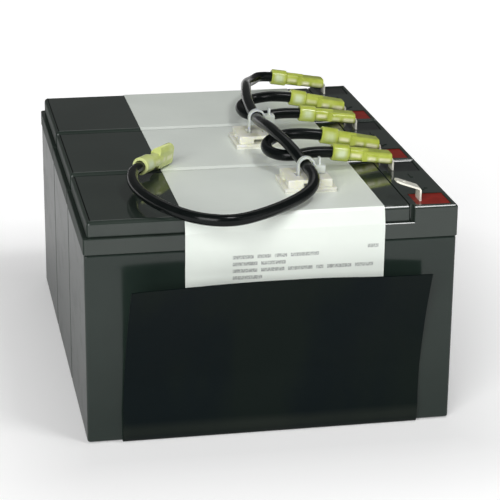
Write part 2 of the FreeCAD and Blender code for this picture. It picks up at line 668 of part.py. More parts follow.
def make_pull_sheet():
    """Plastic sheet bonded under the batteries, with its front edge free to be pulled."""
    free = Part.makeLoft([sheet_profile(SHEET_LEFT, SHEET_LEAN_LEFT, SHEET_TOP_LEFT),
                          sheet_profile(SHEET_RIGHT, SHEET_LEAN_RIGHT, SHEET_TOP_RIGHT)],
                         True, True)
    upright = block(SHEET_LEFT, SHEET_RIGHT, -FACE_Y - SHEET_THICKNESS, -FACE_Y,
                    0, SHEET_STRAIGHT)
    under = block(SHEET_LEFT, SHEET_RIGHT, -FACE_Y - SHEET_THICKNESS, FACE_Y, 0, SHEET_THICKNESS)
    return fuse([free, upright, under])


def make_joining_tape(y):
    """Double-sided foam tape between two battery cases."""
    return block(-TAPE_LENGTH / 2, TAPE_LENGTH / 2, y - CASE_INSET, y + CASE_INSET,
                 BASE_Z + TAPE_BOTTOM, BASE_Z + TAPE_BOTTOM + TAPE_HEIGHT)


# ---- Tie mounts and ties ---------------------------------------------------------------------------
PLATE_Z = LABEL_TOP + PAD_THICKNESS
SADDLE_Z = PLATE_Z + MOUNT_PLATE + MOUNT_BLOCK_HEIGHT


def make_mount_pad():
    """Foam pad under a tie mount."""
    half = MOUNT_SIZE / 2
    return rounded_block(-half, half, -half, half, LABEL_TOP, PLATE_Z, MOUNT_EDGE)


def make_tie_mount():
    """Square plate with a raised block, tunnelled both ways, and a bridge for the tie."""
    half, b = MOUNT_SIZE / 2, MOUNT_BLOCK / 2
    floor = PLATE_Z + MOUNT_PLATE
    plate = rounded_block(-half, half, -half, half, PLATE_Z, floor, MOUNT_EDGE)
    raised = rounded_block(-b, b, -b, b, floor, SADDLE_Z, MOUNT_EDGE)
    raised = raised.makeFillet(MOUNT_EDGE, edges_at(raised, SADDLE_Z))
    t = MOUNT_TUNNEL_WIDTH / 2
    tunnels = [block(-b, b, -t, t, floor, floor + MOUNT_TUNNEL_HEIGHT),
               block(-t, t, -b, b, floor, floor + MOUNT_TUNNEL_HEIGHT)]
    near = MOUNT_SADDLE / 2
    slots = [block(x, x + MOUNT_SLOT, -t, t, floor, SADDLE_Z)
             for x in (near, -near - MOUNT_SLOT)]
    return fuse([plate, raised]).cut(Part.makeCompound(tunnels + slots))


def make_tie(wire_z, head_rise):
    """Closed cable tie in the XZ plane: under the bridge, up and over the wire."""
    inner = WIRE_DIAMETER / 2 + TIE_CLEARANCE
    outer = inner + TIE_THICKNESS
    bottom = PLATE_Z + MOUNT_PLATE

    def loop(radius, z_low):
        middle = block(-radius, radius, 0, TIE_WIDTH, z_low, wire_z)
        arch = Part.makeCylinder(radius, TIE_WIDTH, Vector(0, 0, wire_z), Vector(0, 1, 0))
        return fuse([middle, arch])

    band = loop(outer, bottom).cut(loop(inner, bottom + TIE_THICKNESS))
    x, y, z = TIE_HEAD
    middle = TIE_WIDTH / 2
    centre = wire_z + head_rise
    head = block(inner + TIE_THICKNESS / 2, inner + TIE_THICKNESS / 2 + x,
                 middle - y / 2, middle + y / 2, centre - z / 2, centre + z / 2)
    tail = block(inner + x / 2, inner + x / 2 + TIE_THICKNESS, 0, TIE_WIDTH,
                 centre, centre + z / 2 + TIE_TAIL)
    tie = fuse([band, head, tail])
    tie.translate(Vector(0, -middle, 0))
    return tie


# ---- The whole pack -----------------------------------------------------------------------------------
def all_nodes():
    """Every piece of the cartridge, by node name."""
    nodes = {}
    for name in BATTERY_NAMES:
        nodes.update(battery_nodes(name))
    for seam, name in enumerate(("front", "rear"), start=1):
        nodes["joining_tape_" + name] = make_joining_tape(seam * PITCH - PACK_HALF_WIDTH)
    nodes["wrap_label"] = make_label()
    nodes["pull_sheet"] = make_pull_sheet()
    for name, place in CONNECTOR_PLACES.items():
        for kind, maker in (("connector_sleeve", make_sleeve), ("receptacle", make_receptacle)):
            shape = maker()
            shape.Placement = place
            nodes[name + "_" + kind] = shape
    nodes["front_jumper_wire"] = make_wire("front_jumper_wire", "middle_positive",
                                           FRONT_JUMPER_POINTS, "front_negative")
    nodes["rear_jumper_wire"] = make_wire("rear_jumper_wire", "rear_positive",
                                          REAR_JUMPER_POINTS, "middle_negative")
    nodes["output_lead_wire"] = make_wire("output_lead_wire", "rear_negative",
                                          LEAD_POINTS, "output_lead")
    for name, (x, y, wire_z) in TIE_MOUNTS.items():
        pieces = {"_mount_pad": make_mount_pad(), "_tie_mount": make_tie_mount(),
                  "_cable_tie": make_tie(wire_z, TIE_HEAD_HEIGHT[name])}
        for kind, shape in pieces.items():
            shape.translate(Vector(x, y, 0))
            nodes[name + kind] = shape
    return nodes


def main():
    """Write one STEP file for each node."""
    os.makedirs("parts", exist_ok=True)
    for name, shape in all_nodes().items():
        if not shape.isValid() or shape.Volume <= 0:
            raise ValueError(name + " is not a valid solid")
        shape.exportStep("parts/%s.step" % name)


main()
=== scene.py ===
"""UPS battery cartridge: three sealed batteries in series under one wrap-around label.

Metres, in the frame of the solids: X runs along the batteries towards their terminals, Y
across them towards the rear, and Z up from the support surface.
"""

import json
import logging
import math
from dataclasses import dataclass
from enum import Enum
from typing import Any, Callable, Mapping, Optional, Sequence, Union

import bmesh
import bpy
from mathutils import Matrix, Vector

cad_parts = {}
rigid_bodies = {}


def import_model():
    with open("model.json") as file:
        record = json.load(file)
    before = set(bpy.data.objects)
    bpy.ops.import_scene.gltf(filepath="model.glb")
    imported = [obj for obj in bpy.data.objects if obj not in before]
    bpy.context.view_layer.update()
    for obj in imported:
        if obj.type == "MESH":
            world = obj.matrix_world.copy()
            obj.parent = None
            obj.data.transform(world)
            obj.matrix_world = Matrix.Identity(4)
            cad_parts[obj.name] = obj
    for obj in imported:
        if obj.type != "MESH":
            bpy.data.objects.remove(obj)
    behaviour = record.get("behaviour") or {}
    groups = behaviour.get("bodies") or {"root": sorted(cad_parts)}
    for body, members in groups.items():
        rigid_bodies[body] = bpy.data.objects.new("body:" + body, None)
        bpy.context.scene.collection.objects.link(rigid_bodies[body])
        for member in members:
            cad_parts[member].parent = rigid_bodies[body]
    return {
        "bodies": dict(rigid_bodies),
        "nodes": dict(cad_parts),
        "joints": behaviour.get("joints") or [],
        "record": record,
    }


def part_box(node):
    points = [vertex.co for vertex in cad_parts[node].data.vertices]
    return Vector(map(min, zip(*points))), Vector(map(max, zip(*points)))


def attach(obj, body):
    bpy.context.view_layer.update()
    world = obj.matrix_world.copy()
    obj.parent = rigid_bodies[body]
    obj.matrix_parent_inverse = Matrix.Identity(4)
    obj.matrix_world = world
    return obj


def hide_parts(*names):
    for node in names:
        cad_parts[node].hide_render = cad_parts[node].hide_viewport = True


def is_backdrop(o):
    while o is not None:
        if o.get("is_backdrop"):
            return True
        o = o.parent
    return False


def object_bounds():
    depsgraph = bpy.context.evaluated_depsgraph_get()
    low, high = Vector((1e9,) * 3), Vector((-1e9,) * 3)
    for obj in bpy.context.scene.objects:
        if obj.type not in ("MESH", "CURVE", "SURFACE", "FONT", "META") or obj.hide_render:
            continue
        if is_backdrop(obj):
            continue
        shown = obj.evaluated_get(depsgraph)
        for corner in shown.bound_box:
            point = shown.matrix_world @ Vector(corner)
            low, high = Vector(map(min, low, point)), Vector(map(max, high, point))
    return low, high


LOG = logging.getLogger("cartridge")
MM = 0.001
BODY = "root"
OWN_FRAME = "own_frame"
# Vertices nearer than this are merged, heights nearer than this are level, and faces that
# meet flatter than this angle, in degrees, are joined.
SAME_PLACE = 1e-6
LEVEL = 1e-5
SAME_PLANE = 0.5
# Width of a Wave node's bands at a scale of 1.
WAVE_BAND = 0.314

Colour = tuple[float, float, float]
Point = tuple[float, float, float]
Span = tuple[float, float, float]
Box = Sequence[Sequence[float]]
Piece = Union[bpy.types.Object, str]
Chooser = Callable[[bmesh.types.BMEdge], bool]


class Place(Enum):
    """The three batteries, from the front."""

    FRONT = "front"
    MIDDLE = "middle"
    REAR = "rear"


class Pole(Enum):
    """The two terminals of a battery."""

    POSITIVE = "positive"
    NEGATIVE = "negative"


# ---- Shader maths -----------------------------------------------------------------------
@dataclass(frozen=True)
class Pattern:
    """Smooth noise on a piece.

    Attributes:
        size: Its largest features.
        detail: How many finer layers it has.
        rough: How strong the finer layers are.
        scale: Scale of its coordinates along each axis. Under 1 draws it out.
        turn: Turn of its coordinates about each axis, in degrees.
        depth: How deep it is as relief.
    """

    size: float
    detail: float = 3.0
    rough: float = 0.5
    scale: Point = (1.0, 1.0, 1.0)
    turn: Point = (0.0, 0.0, 0.0)
    depth: float = 0.0


class Shade:
    """A node's output socket, written like a number."""

    def __init__(self, recipe: "Recipe", socket: Optional[bpy.types.NodeSocket]) -> None:
        """Wrap one socket.

        Args:
            recipe: The material that the socket belongs to.
            socket: The output socket, or none for a node that has no output.
        """
        self.recipe = recipe
        self.socket = socket

    def _math(self, operation: str, first: Any, second: Any = 0.0) -> "Shade":
        """Add a Math node.

        Args:
            operation: The node's operation.
            first: Its first value.
            second: Its second value, where it has one.

        Returns:
            The node's result.
        """
        return self.recipe.node("ShaderNodeMath", {"operation": operation},
                                {0: first, 1: second}, "Value")

    def __add__(self, other: Any) -> "Shade":
        """Sum."""
        return self._math("ADD", self, other)

    def __radd__(self, other: Any) -> "Shade":
        """Sum with a number on the left."""
        return self._math("ADD", other, self)

    def __sub__(self, other: Any) -> "Shade":
        """Difference."""
        return self._math("SUBTRACT", self, other)

    def __rsub__(self, other: Any) -> "Shade":
        """Difference with a number on the left."""
        return self._math("SUBTRACT", other, self)

    def __mul__(self, other: Any) -> "Shade":
        """Product."""
        return self._math("MULTIPLY", self, other)

    def __rmul__(self, other: Any) -> "Shade":
        """Product with a number on the left."""
        return self._math("MULTIPLY", other, self)

    def __abs__(self) -> "Shade":
        """Value without its sign."""
        return self._math("ABSOLUTE", self)

    def below(self, limit: float) -> "Shade":
        """1 where the value is under a limit, and 0 elsewhere."""
        return self._math("LESS_THAN", self, limit)

    def highest(self, other: Any) -> "Shade":
        """The larger of two values."""
        return self._math("MAXIMUM", self, other)

    def part(self, axis: str) -> "Shade":
        """The X, Y or Z of a vector."""
        return self.recipe.node("ShaderNodeSeparateXYZ", None, {0: self}, axis)


class Recipe:
    """One material and the nodes that make it."""

    def __init__(self, name: str) -> None:
        """Start an empty material.

        Args:
            name: The material's name.
        """
        self.material = bpy.data.materials.new(name)
        self.material.use_nodes = True
        self.tree = self.material.node_tree
        self.tree.nodes.clear()

    def node(self, kind: str, settings: Optional[Mapping[str, Any]] = None,
             inputs: Optional[Mapping[Union[str, int], Any]] = None,
             output: Union[str, int] = 0) -> Shade:
        """Add a node.

        Args:
            kind: The node's type.
            settings: Its settings, set before its sockets.
            inputs: Values or links of its sockets, by name or number.
            output: The output that is wanted.

        Returns:
            That output.
        """
        made = self.tree.nodes.new(kind)
        for key, value in (settings or {}).items():
            setattr(made, key, value)
        for key, value in (inputs or {}).items():
            socket = made.inputs[key]
            if isinstance(value, Shade):
                self.tree.links.new(value.socket, socket)
            elif isinstance(value, tuple) and socket.type == "RGBA":
                socket.default_value = (*value, 1.0)
            else:
                socket.default_value = value
        return Shade(self, made.outputs[output] if made.outputs else None)

    def place(self, scale: Point = (1.0, 1.0, 1.0), turn: Point = (0.0, 0.0, 0.0)) -> Shade:
        """Object coordinates.

        Args:
            scale: Scale along each axis.
            turn: Turn about each axis, in degrees.

        Returns:
            The coordinates.
        """
        raw = self.node("ShaderNodeTexCoord", output="Object")
        turned = tuple(math.radians(t) for t in turn)
        return self.node("ShaderNodeMapping", {"vector_type": "POINT"},
                         {"Vector": raw, "Rotation": turned, "Scale": scale})

    def axis(self, name: str) -> Shade:
        """One object coordinate, X, Y or Z."""
        return self.place().part(name)

    def noise(self, pattern: Pattern) -> Shade:
        """Smooth noise.

        Args:
            pattern: What it is like.

        Returns:
            The noise, from 0 to 1.
        """
        return self.node("ShaderNodeTexNoise", {"noise_dimensions": "3D"},
                         {"Vector": self.place(pattern.scale, pattern.turn),
                          "Scale": 1.0 / pattern.size, "Detail": pattern.detail,
                          "Roughness": pattern.rough}, "Fac")

    def window(self, value: Shade, low: float, high: float, to_low: float = 0.0,
               to_high: float = 1.0) -> Shade:
        """Map a range of a value onto another, clamped at its ends.

        Args:
            value: The value.
            low: Start of its range.
            high: End of its range.
            to_low: What the start becomes.
            to_high: What the end becomes.

        Returns:
            The mapped value.
        """
        return self.node("ShaderNodeMapRange", {"clamp": True},
                         {"Value": value, "From Min": low, "From Max": high,
                          "To Min": to_low, "To Max": to_high}, "Result")

    def near(self, value: Shade, middle: float, half: float) -> Shade:
        """1 where a value lies within half of a middle, and 0 elsewhere."""
        return self.node("ShaderNodeMath", {"operation": "COMPARE"},
                         {0: value, 1: middle, 2: half}, "Value")

    def vector(self, operation: str, first: Any, second: Any = (0.0, 0.0, 0.0)) -> Shade:
        """Vector maths on two vectors."""
        return self.node("ShaderNodeVectorMath", {"operation": operation},
                         {0: first, 1: second}, "Vector")

    def span(self, value: Shade, low: float, high: float, soft: float) -> Shade:
        """1 between two values and 0 outside them, fading over a width.

        Args:
            value: The value.
            low: Where it starts to rise.
            high: Where it has faded.
            soft: Width of either fade.

        Returns:
            The mask.
        """
        return self.window(value, low, low + soft) - self.window(value, high - soft, high)

    def blend(self, factor: Any, first: Any, second: Any) -> Shade:
        """Mix two colours.

        Args:
            factor: 0 for the first colour and 1 for the second.
            first: A colour.
            second: A colour.

        Returns:
            The mixed colour.
        """
        return self.node("ShaderNodeMix", {"data_type": "RGBA", "blend_type": "MIX"},
                         {0: factor, 6: first, 7: second}, 2)

    def mottle(self, cloud: Shade, deep: Colour, pale: Colour, low: float = 0.3,
               high: float = 0.7) -> Shade:
        """A colour that drifts with a noise.

        Args:
            cloud: The noise.
            deep: The colour where the noise is low.
            pale: The colour where it is high.
            low: Up to where it is low.
            high: From where it is high.

        Returns:
            The colour.
        """
        return self.blend(self.window(cloud, low, high), deep, pale)

    def relief(self, height: Shade, depth: float, over: Optional[Shade] = None) -> Shade:
        """A bumpy normal.

        Args:
            height: Height from 0 to 1.
            depth: What a height of 1 stands for.
            over: A normal that it goes on top of.

        Returns:
            The normal.
        """
        inputs: dict[Union[str, int], Any] = {"Height": height, "Distance": depth, "Strength": 1.0}
        if over is not None:
            inputs["Normal"] = over
        return self.node("ShaderNodeBump", None, inputs, "Normal")

    def bumps(self, *patterns: Pattern) -> Optional[Shade]:
        """A normal that is bumpy with noise.

        Args:
            patterns: The noise, the coarsest first, each with its depth.

        Returns:
            The normal.
        """
        normal = None
        for pattern in patterns:
            normal = self.relief(self.noise(pattern), pattern.depth, normal)
        return normal

    def coat(self, **values: Any) -> Shade:
        """A Principled shader.

        Args:
            values: Its sockets, by name with underscores for spaces.

        Returns:
            The shader.
        """
        return self.node("ShaderNodeBsdfPrincipled", None,
                         {key.replace("_", " "): value for key, value in values.items()},
                         "BSDF")

    def finished(self, shader: Shade) -> bpy.types.Material:
        """The material, with this shader as its surface."""
        self.node("ShaderNodeOutputMaterial", None, {"Surface": shader})
        return self.material

    def surface(self, **values: Any) -> bpy.types.Material:
        """The material, with one Principled shader of these values."""
        return self.finished(self.coat(**values))


# ---- Finishes -----------------------------------------------------------------------------
# Rows of dashes on the label's front panel, in millimetres: height, and each dash along X.
DASH_HALF_HEIGHT = 0.75
DASH_ROWS = (
    (76.6, ((-16.5, -8.0), (-6.5, -1.0), (0.5, 5.5), (7.0, 18.5))),
    (73.7, ((-16.5, -6.5), (-5.0, 5.0))),
    (70.8, ((-16.5, -6.5), (-5.0, 4.5), (6.0, 16.0), (17.5, 20.5), (22.0, 32.0), (33.5, 41.0))),
    (67.9, ((-16.5, -4.5),)),
    (78.6, ((38.5, 43.0),)),
)


@dataclass(frozen=True)
class MouldedAbs:
    """Glossy dark grey ABS with a slight green cast, satin on its ends.

    Attributes:
        handling: How much duller handled places are.
        scratching: How much duller scratches are.
        endwise: How squarely a face looks along X where the satin starts, and is full.
    """

    name: str = "moulded_abs_case"
    deep: Colour = (0.0106, 0.0180, 0.0146)
    pale: Colour = (0.0152, 0.0240, 0.0196)
    roughness: float = 0.14
    index: float = 1.4
    end_roughness: float = 0.36
    end_level: float = 0.5
    handling: float = 0.06
    scratching: float = 0.02
    endwise: Sequence[float] = (0.50, 0.68)
    cloud: Pattern = Pattern(0.045, 4.0, 0.55)
    handled: Pattern = Pattern(0.018, 5.0, 0.6, (1.0, 1.0, 1.6), (0.0, 0.0, 25.0))
    scratch: Pattern = Pattern(0.004, 2.0, 0.5, (0.08, 1.0, 1.0), (8.0, 5.0, 33.0))
    ripple: Pattern = Pattern(0.006, 2.0, 0.4, depth=0.00001)
    pits: Pattern = Pattern(0.0005, 2.0, 0.6, depth=0.000006)

    def make(self) -> bpy.types.Material:
        """Make the material.

        Returns:
            The material.
        """
        r = Recipe(self.name)
        plastic = r.mottle(r.noise(self.cloud), self.deep, self.pale)
        marks = (r.window(r.noise(self.handled), 0.5, 0.8, 0.0, self.handling)
                 + r.window(r.noise(self.scratch), 0.64, 0.8, 0.0, self.scratching))
        normal = r.bumps(self.ripple, self.pits)
        facing = r.node("ShaderNodeNewGeometry", output="True Normal")
        glossy = r.coat(Base_Color=plastic, Roughness=marks + self.roughness, IOR=self.index,
                        Normal=normal)
        satin = r.coat(Base_Color=plastic, Roughness=marks + self.end_roughness, IOR=self.index,
                       Specular_IOR_Level=self.end_level, Normal=normal)
        return r.finished(r.node("ShaderNodeMixShader", None, {
            0: r.window(abs(facing.part("X")), *self.endwise), 1: glossy, 2: satin}, "Shader"))


@dataclass(frozen=True)
class LabelFilm:
    """Satin white film, faintly mottled, not quite flat, with rows of plain grey dashes.

    Attributes:
        roughness: Roughness where it is least and most handled.
        inking: How much of the ink is left where a dash is most and least worn.
        panel: The dashes lie in front of this, along Y.
    """

    name: str = "label_film"
    white: Colour = (0.80, 0.85, 0.79)
    shade: Colour = (0.75, 0.80, 0.745)
    ink: Colour = (0.20, 0.21, 0.21)
    roughness: Sequence[float] = (0.30, 0.40)
    index: float = 1.48
    inking: Sequence[float] = (0.25, 0.75)
    panel: float = -0.09
    cloud: Pattern = Pattern(0.05, 4.0, 0.6)
    wave: Pattern = Pattern(0.03, 2.0, 0.4, (1.0, 0.35, 1.0), depth=0.00012)
    grain: Pattern = Pattern(0.0009, 2.0, depth=0.000004)
    handled: Pattern = Pattern(0.012, 4.0, 0.6)
    worn: Pattern = Pattern(0.0006, 2.0, 0.6)

    def make(self) -> bpy.types.Material:
        """Make the material.

        Returns:
            The material.
        """
        r = Recipe(self.name)
        film = r.mottle(r.noise(self.cloud), self.shade, self.white)
        return r.surface(Base_Color=r.blend(self.dashes(r), film, self.ink),
                         Roughness=r.window(r.noise(self.handled), 0.3, 0.8, *self.roughness),
                         IOR=self.index, Normal=r.bumps(self.wave, self.grain))

    def dashes(self, r: Recipe) -> Shade:
        """Where the dashes are, on the panel in front of the cases.

        Args:
            r: The material.

        Returns:
            A mask, above 0 on a dash and uneven as if worn.
        """
        across, depth, up = (r.axis(name) for name in "XYZ")
        mask = sum(
            sum(r.near(across, (start + end) / 2 * MM, (end - start) / 2 * MM)
                for start, end in dashes) * r.near(up, height * MM, DASH_HALF_HEIGHT * MM)
            for height, dashes in DASH_ROWS)
        fade = r.window(r.noise(self.worn), 0.35, 0.6, *self.inking)
        return mask * fade * depth.below(self.panel)


@dataclass(frozen=True)
class SheetFilm:
    """Black plastic film with a satin face, soft streaks and a painted paler sheen along its fold.

    Attributes:
        scratching: How much duller scratches are.
        fold: Start and end of the band of painted sheen, going up, and how far it fades.
    """

    name: str = "pull_sheet_film"
    deep: Colour = (0.0004, 0.0033, 0.0040)
    pale: Colour = (0.0020, 0.0054, 0.0042)
    # Painted sheen: the paler colour of the band just above the fold.
    fold_sheen: Colour = (0.0110, 0.0150, 0.0120)
    roughness: Sequence[float] = (0.38, 0.46)
    index: float = 1.45
    level: float = 0.12
    scratching: float = 0.08
    fold: Span = (0.0004, 0.0090, 0.0034)
    cloud: Pattern = Pattern(0.030, 3.0, 0.5, (1.0, 1.0, 0.40), (0.0, 24.0, 0.0))
    scratch: Pattern = Pattern(0.003, 2.0, 0.5, (1.0, 1.0, 0.06), (0.0, 24.0, 0.0))
    ripple: Pattern = Pattern(0.030, 3.0, 0.45, (1.0, 1.0, 0.45), (0.0, 28.0, 0.0), depth=0.00025)
    grain: Pattern = Pattern(0.0006, 2.0, 0.6, depth=0.000004)

    def make(self) -> bpy.types.Material:
        """Make the material.

        Returns:
            The material.
        """
        r = Recipe(self.name)
        cloud = r.noise(self.cloud)
        marks = r.window(r.noise(self.scratch), 0.62, 0.8, 0.0, self.scratching)
        # Painted sheen along the fold, low on the sheet.
        fold = r.span(r.axis("Z"), *self.fold) * r.window(cloud, 0.2, 0.7, 0.5, 1.0)
        film = r.mottle(cloud, self.deep, self.pale, 0.40, 0.60)
        return r.surface(Base_Color=r.blend(fold, film, self.fold_sheen),
                         Roughness=marks + r.window(cloud, 0.2, 0.8, *self.roughness),
                         IOR=self.index, Specular_IOR_Level=self.level,
                         Normal=r.bumps(self.ripple, self.grain))


@dataclass(frozen=True)
class Nylon:
    """Moulded nylon that lets some light in.

    Attributes:
        through: Share of the light that goes through.
        soft: Share of the light that spreads inside.
        reach: How far red, green and blue spread.
    """

    name: str
    deep: Colour
    pale: Colour
    through: float
    soft: float = 0.4
    roughness: Sequence[float] = (0.30, 0.36)
    index: float = 1.53
    reach: Point = (0.0016, 0.0016, 0.0008)
    cloud: Pattern = Pattern(0.005)
    flow: Pattern = Pattern(0.004, 2.0, 0.4, (0.4, 1.0, 1.0), depth=0.00002)

    def make(self) -> bpy.types.Material:
        """Make the material.

        Returns:
            The material.
        """
        r = Recipe(self.name)
        cloud = r.noise(self.cloud)
        return r.surface(Base_Color=r.mottle(cloud, self.deep, self.pale),
                         Roughness=r.window(cloud, 0.3, 0.7, *self.roughness), IOR=self.index,
                         Subsurface_Weight=self.soft, Subsurface_Radius=self.reach,
                         Subsurface_Scale=1.0, Transmission_Weight=self.through,
                         Normal=r.bumps(self.flow))


@dataclass(frozen=True)
class SleeveNylon:
    """Clear yellow-green nylon, with painted glints where the crimped metal lies inside and a
    painted pale sheen on its funnel.

    The piece's own frame gives the place along it from its wire end, across it and up. A
    span is a start, an end and how far it fades in and out.

    Attributes:
        throat: The clear funnel round the wire, along the sleeve, where a pale sheen is painted.
        barrel: The receptacle's crimp, along the sleeve, where a glint is painted.
        rolls: The two lengths of its rolled edges, along the sleeve, where glints are painted.
        throat_height: How high the funnel's painted sheen shows.
        barrel_height: How high the crimp's painted glint shows.
        roll_height: How high the rolled edges' painted glints show.
        side: How far from the middle the painted sheen and glints start to show, and show in full.
        clearness: How strongly the funnel's pale sheen is painted.
    """

    name: str = "yellow_green_nylon"
    deep: Colour = (0.46, 0.54, 0.060)
    pale: Colour = (0.60, 0.68, 0.13)
    # Painted light: clear is the pale sheen painted on the clear funnel, metal the glints painted
    # where the crimp and rolled edges lie.
    clear: Colour = (0.84, 0.94, 0.72)
    metal: Colour = (1.0, 1.0, 0.64)
    through: float = 0.24
    roughness: Sequence[float] = (0.10, 0.16)
    index: float = 1.53
    throat: Span = (0.0006, 0.0066, 0.0020)
    barrel: Span = (0.0072, 0.0130, 0.0014)
    rolls: Sequence[Span] = ((0.0146, 0.0190, 0.0012), (0.0194, 0.0256, 0.0012))
    throat_height: Span = (-0.0022, 0.0030, 0.0018)
    barrel_height: Span = (-0.0014, 0.0012, 0.0010)
    roll_height: Span = (-0.0021, 0.0008, 0.0010)
    side: Sequence[float] = (0.0008, 0.0022)
    clearness: float = 0.8
    cloud: Pattern = Pattern(0.004)
    patchy: Pattern = Pattern(0.0060, 1.0, 0.4)
    flow: Pattern = Pattern(0.004, 2.0, 0.4, depth=0.00002)

    def make(self) -> bpy.types.Material:
        """Make the material.

        Returns:
            The material.
        """
        r = Recipe(self.name)
        own = r.node("ShaderNodeAttribute", {"attribute_name": OWN_FRAME}, None, "Vector")
        along, across, up = (own.part(axis) for axis in "XYZ")
        cloud = r.noise(self.cloud)
        uneven = r.window(r.noise(self.patchy), 0.35, 0.6, 0.55, 1.0)
        side = r.window(abs(across), *self.side)
        throat = r.span(along, *self.throat) * r.span(up, *self.throat_height)
        barrel = r.span(along, *self.barrel) * r.span(up, *self.barrel_height)
        rolled = (r.span(along, *self.rolls[0]) + r.span(along, *self.rolls[1])
                  ) * r.span(up, *self.roll_height)
        body = r.mottle(cloud, self.deep, self.pale)
        # Painted pale sheen on the clear funnel.
        body = r.blend(throat * side * uneven * self.clearness, body, self.clear)
        # Painted glints of the crimp and the rolled edges inside.
        body = r.blend((barrel + rolled) * side * uneven, body, self.metal)
        return r.surface(Base_Color=body, Roughness=r.window(cloud, 0.3, 0.7, *self.roughness),
                         IOR=self.index, Transmission_Weight=self.through,
                         Normal=r.bumps(self.flow))


@dataclass(frozen=True)
class WirePvc:
    """Black PVC insulation, shiny along the wire."""

    name: str = "wire_insulation"
    deep: Colour = (0.0024, 0.0036, 0.0036)
    pale: Colour = (0.0052, 0.0070, 0.0066)
    roughness: Sequence[float] = (0.17, 0.25)
    index: float = 1.5
    level: float = 0.15
    cloud: Pattern = Pattern(0.012, 4.0, 0.6)
    skin: Pattern = Pattern(0.0012, depth=0.000012)

    def make(self) -> bpy.types.Material:
        """Make the material.

        Returns:
            The material.
        """
        r = Recipe(self.name)
        cloud = r.noise(self.cloud)
        return r.surface(Base_Color=r.mottle(cloud, self.deep, self.pale, 0.35, 0.7),
                         Roughness=r.window(cloud, 0.2, 0.8, *self.roughness), IOR=self.index,
                         Specular_IOR_Level=self.level, Normal=r.bumps(self.skin))


@dataclass(frozen=True)
class PlatedMetal:
    """Rolled and stamped metal with fine drawing lines and dull spots."""

    name: str
    bright: Colour
    dull: Colour
    roughness: float
    metallic: float = 1.0
    dulling: float = 0.16
    spots: Pattern = Pattern(0.0035, 4.0, 0.6)
    lines: Pattern = Pattern(0.0012, 2.0, 0.5, (0.12, 1.0, 1.0), depth=0.000012)

    def make(self) -> bpy.types.Material:
        """Make the material.

        Returns:
            The material.
        """
        r = Recipe(self.name)
        spots = r.noise(self.spots)
        return r.surface(Base_Color=r.mottle(spots, self.bright, self.dull, 0.35, 0.75),
                         Metallic=self.metallic, Normal=r.bumps(self.lines),
                         Roughness=r.window(spots, 0.3, 0.8, self.roughness,
                                            self.roughness + self.dulling))


@dataclass(frozen=True)
class SealResin:
    """Poured resin that has cured with a slightly uneven face."""

    name: str
    deep: Colour
    pale: Colour
    roughness: Sequence[float] = (0.12, 0.24)
    index: float = 1.22
    cloud: Pattern = Pattern(0.004, 4.0, 0.55)
    pool: Pattern = Pattern(0.009, 2.0, 0.4, depth=0.00006)
    grain: Pattern = Pattern(0.0008, 2.0, depth=0.000004)

    def make(self) -> bpy.types.Material:
        """Make the material.

        Returns:
            The material.
        """
        r = Recipe(self.name)
        cloud = r.noise(self.cloud)
        return r.surface(Base_Color=r.mottle(cloud, self.deep, self.pale),
                         Roughness=r.window(cloud, 0.2, 0.8, *self.roughness), IOR=self.index,
                         Normal=r.bumps(self.pool, self.grain))


@dataclass(frozen=True)
class Foam:
    """Closed-cell foam, pricked with tiny cells.

    Attributes:
        cells: How many cells there are to a metre.
        depth: How deep they are.
    """

    name: str = "foam_tape"
    deep: Colour = (0.70, 0.70, 0.60)
    pale: Colour = (0.84, 0.84, 0.74)
    roughness: float = 0.85
    cells: float = 2400.0
    depth: float = 0.00008

    def make(self) -> bpy.types.Material:
        """Make the material.

        Returns:
            The material.
        """
        r = Recipe(self.name)
        cells = r.node("ShaderNodeTexVoronoi", {"feature": "F1"},
                       {"Vector": r.place(), "Scale": self.cells}, "Distance")
        face = r.window(cells, 0.1, 0.7)
        return r.surface(Base_Color=r.blend(face, self.pale, self.deep), Roughness=self.roughness,
                         Normal=r.relief(1.0 - face, self.depth))


@dataclass(frozen=True)
class Rubber:
    """Soft black rubber."""

    name: str = "valve_rubber"
    deep: Colour = (0.012, 0.012, 0.012)
    pale: Colour = (0.035, 0.034, 0.032)
    roughness: Sequence[float] = (0.55, 0.8)
    bloom: Pattern = Pattern(0.004, 4.0, 0.6)
    grain: Pattern = Pattern(0.0006, 2.0, depth=0.00002)

    def make(self) -> bpy.types.Material:
        """Make the material.

        Returns:
            The material.
        """
        r = Recipe(self.name)
        bloom = r.noise(self.bloom)
        return r.surface(Base_Color=r.blend(bloom, self.deep, self.pale),
                         Roughness=r.window(bloom, 0.2, 0.8, *self.roughness),
                         Normal=r.bumps(self.grain))


@dataclass(frozen=True)
class PlateStack:
    """Pasted plates with white glass mat between them.

    Attributes:
        pitch: From one plate to the next.
        depth: How far the plates stand back from the mat.
    """

    name: str = "plate_stack"
    brown: Colour = (0.10, 0.065, 0.045)
    grey: Colour = (0.16, 0.15, 0.15)
    mat: Colour = (0.72, 0.72, 0.70)
    roughness: float = 0.85
    pitch: float = 0.0052
    depth: float = 0.0003
    paste: Pattern = Pattern(0.003, 4.0)

    def make(self) -> bpy.types.Material:
        """Make the material.

        Returns:
            The material.
        """
        r = Recipe(self.name)
        wave = r.node("ShaderNodeTexWave", {"wave_type": "BANDS", "bands_direction": "X"},
                      {"Vector": r.place(), "Scale": WAVE_BAND / self.pitch, "Distortion": 0.4,
                       "Detail": 2.0}, "Fac")
        layer = r.window(wave, 0.4, 0.6)
        paste = r.blend(r.noise(self.paste), self.brown, self.grey)
        return r.surface(Base_Color=r.blend(layer, paste, self.mat), Roughness=self.roughness,
                         Normal=r.relief(layer, self.depth))


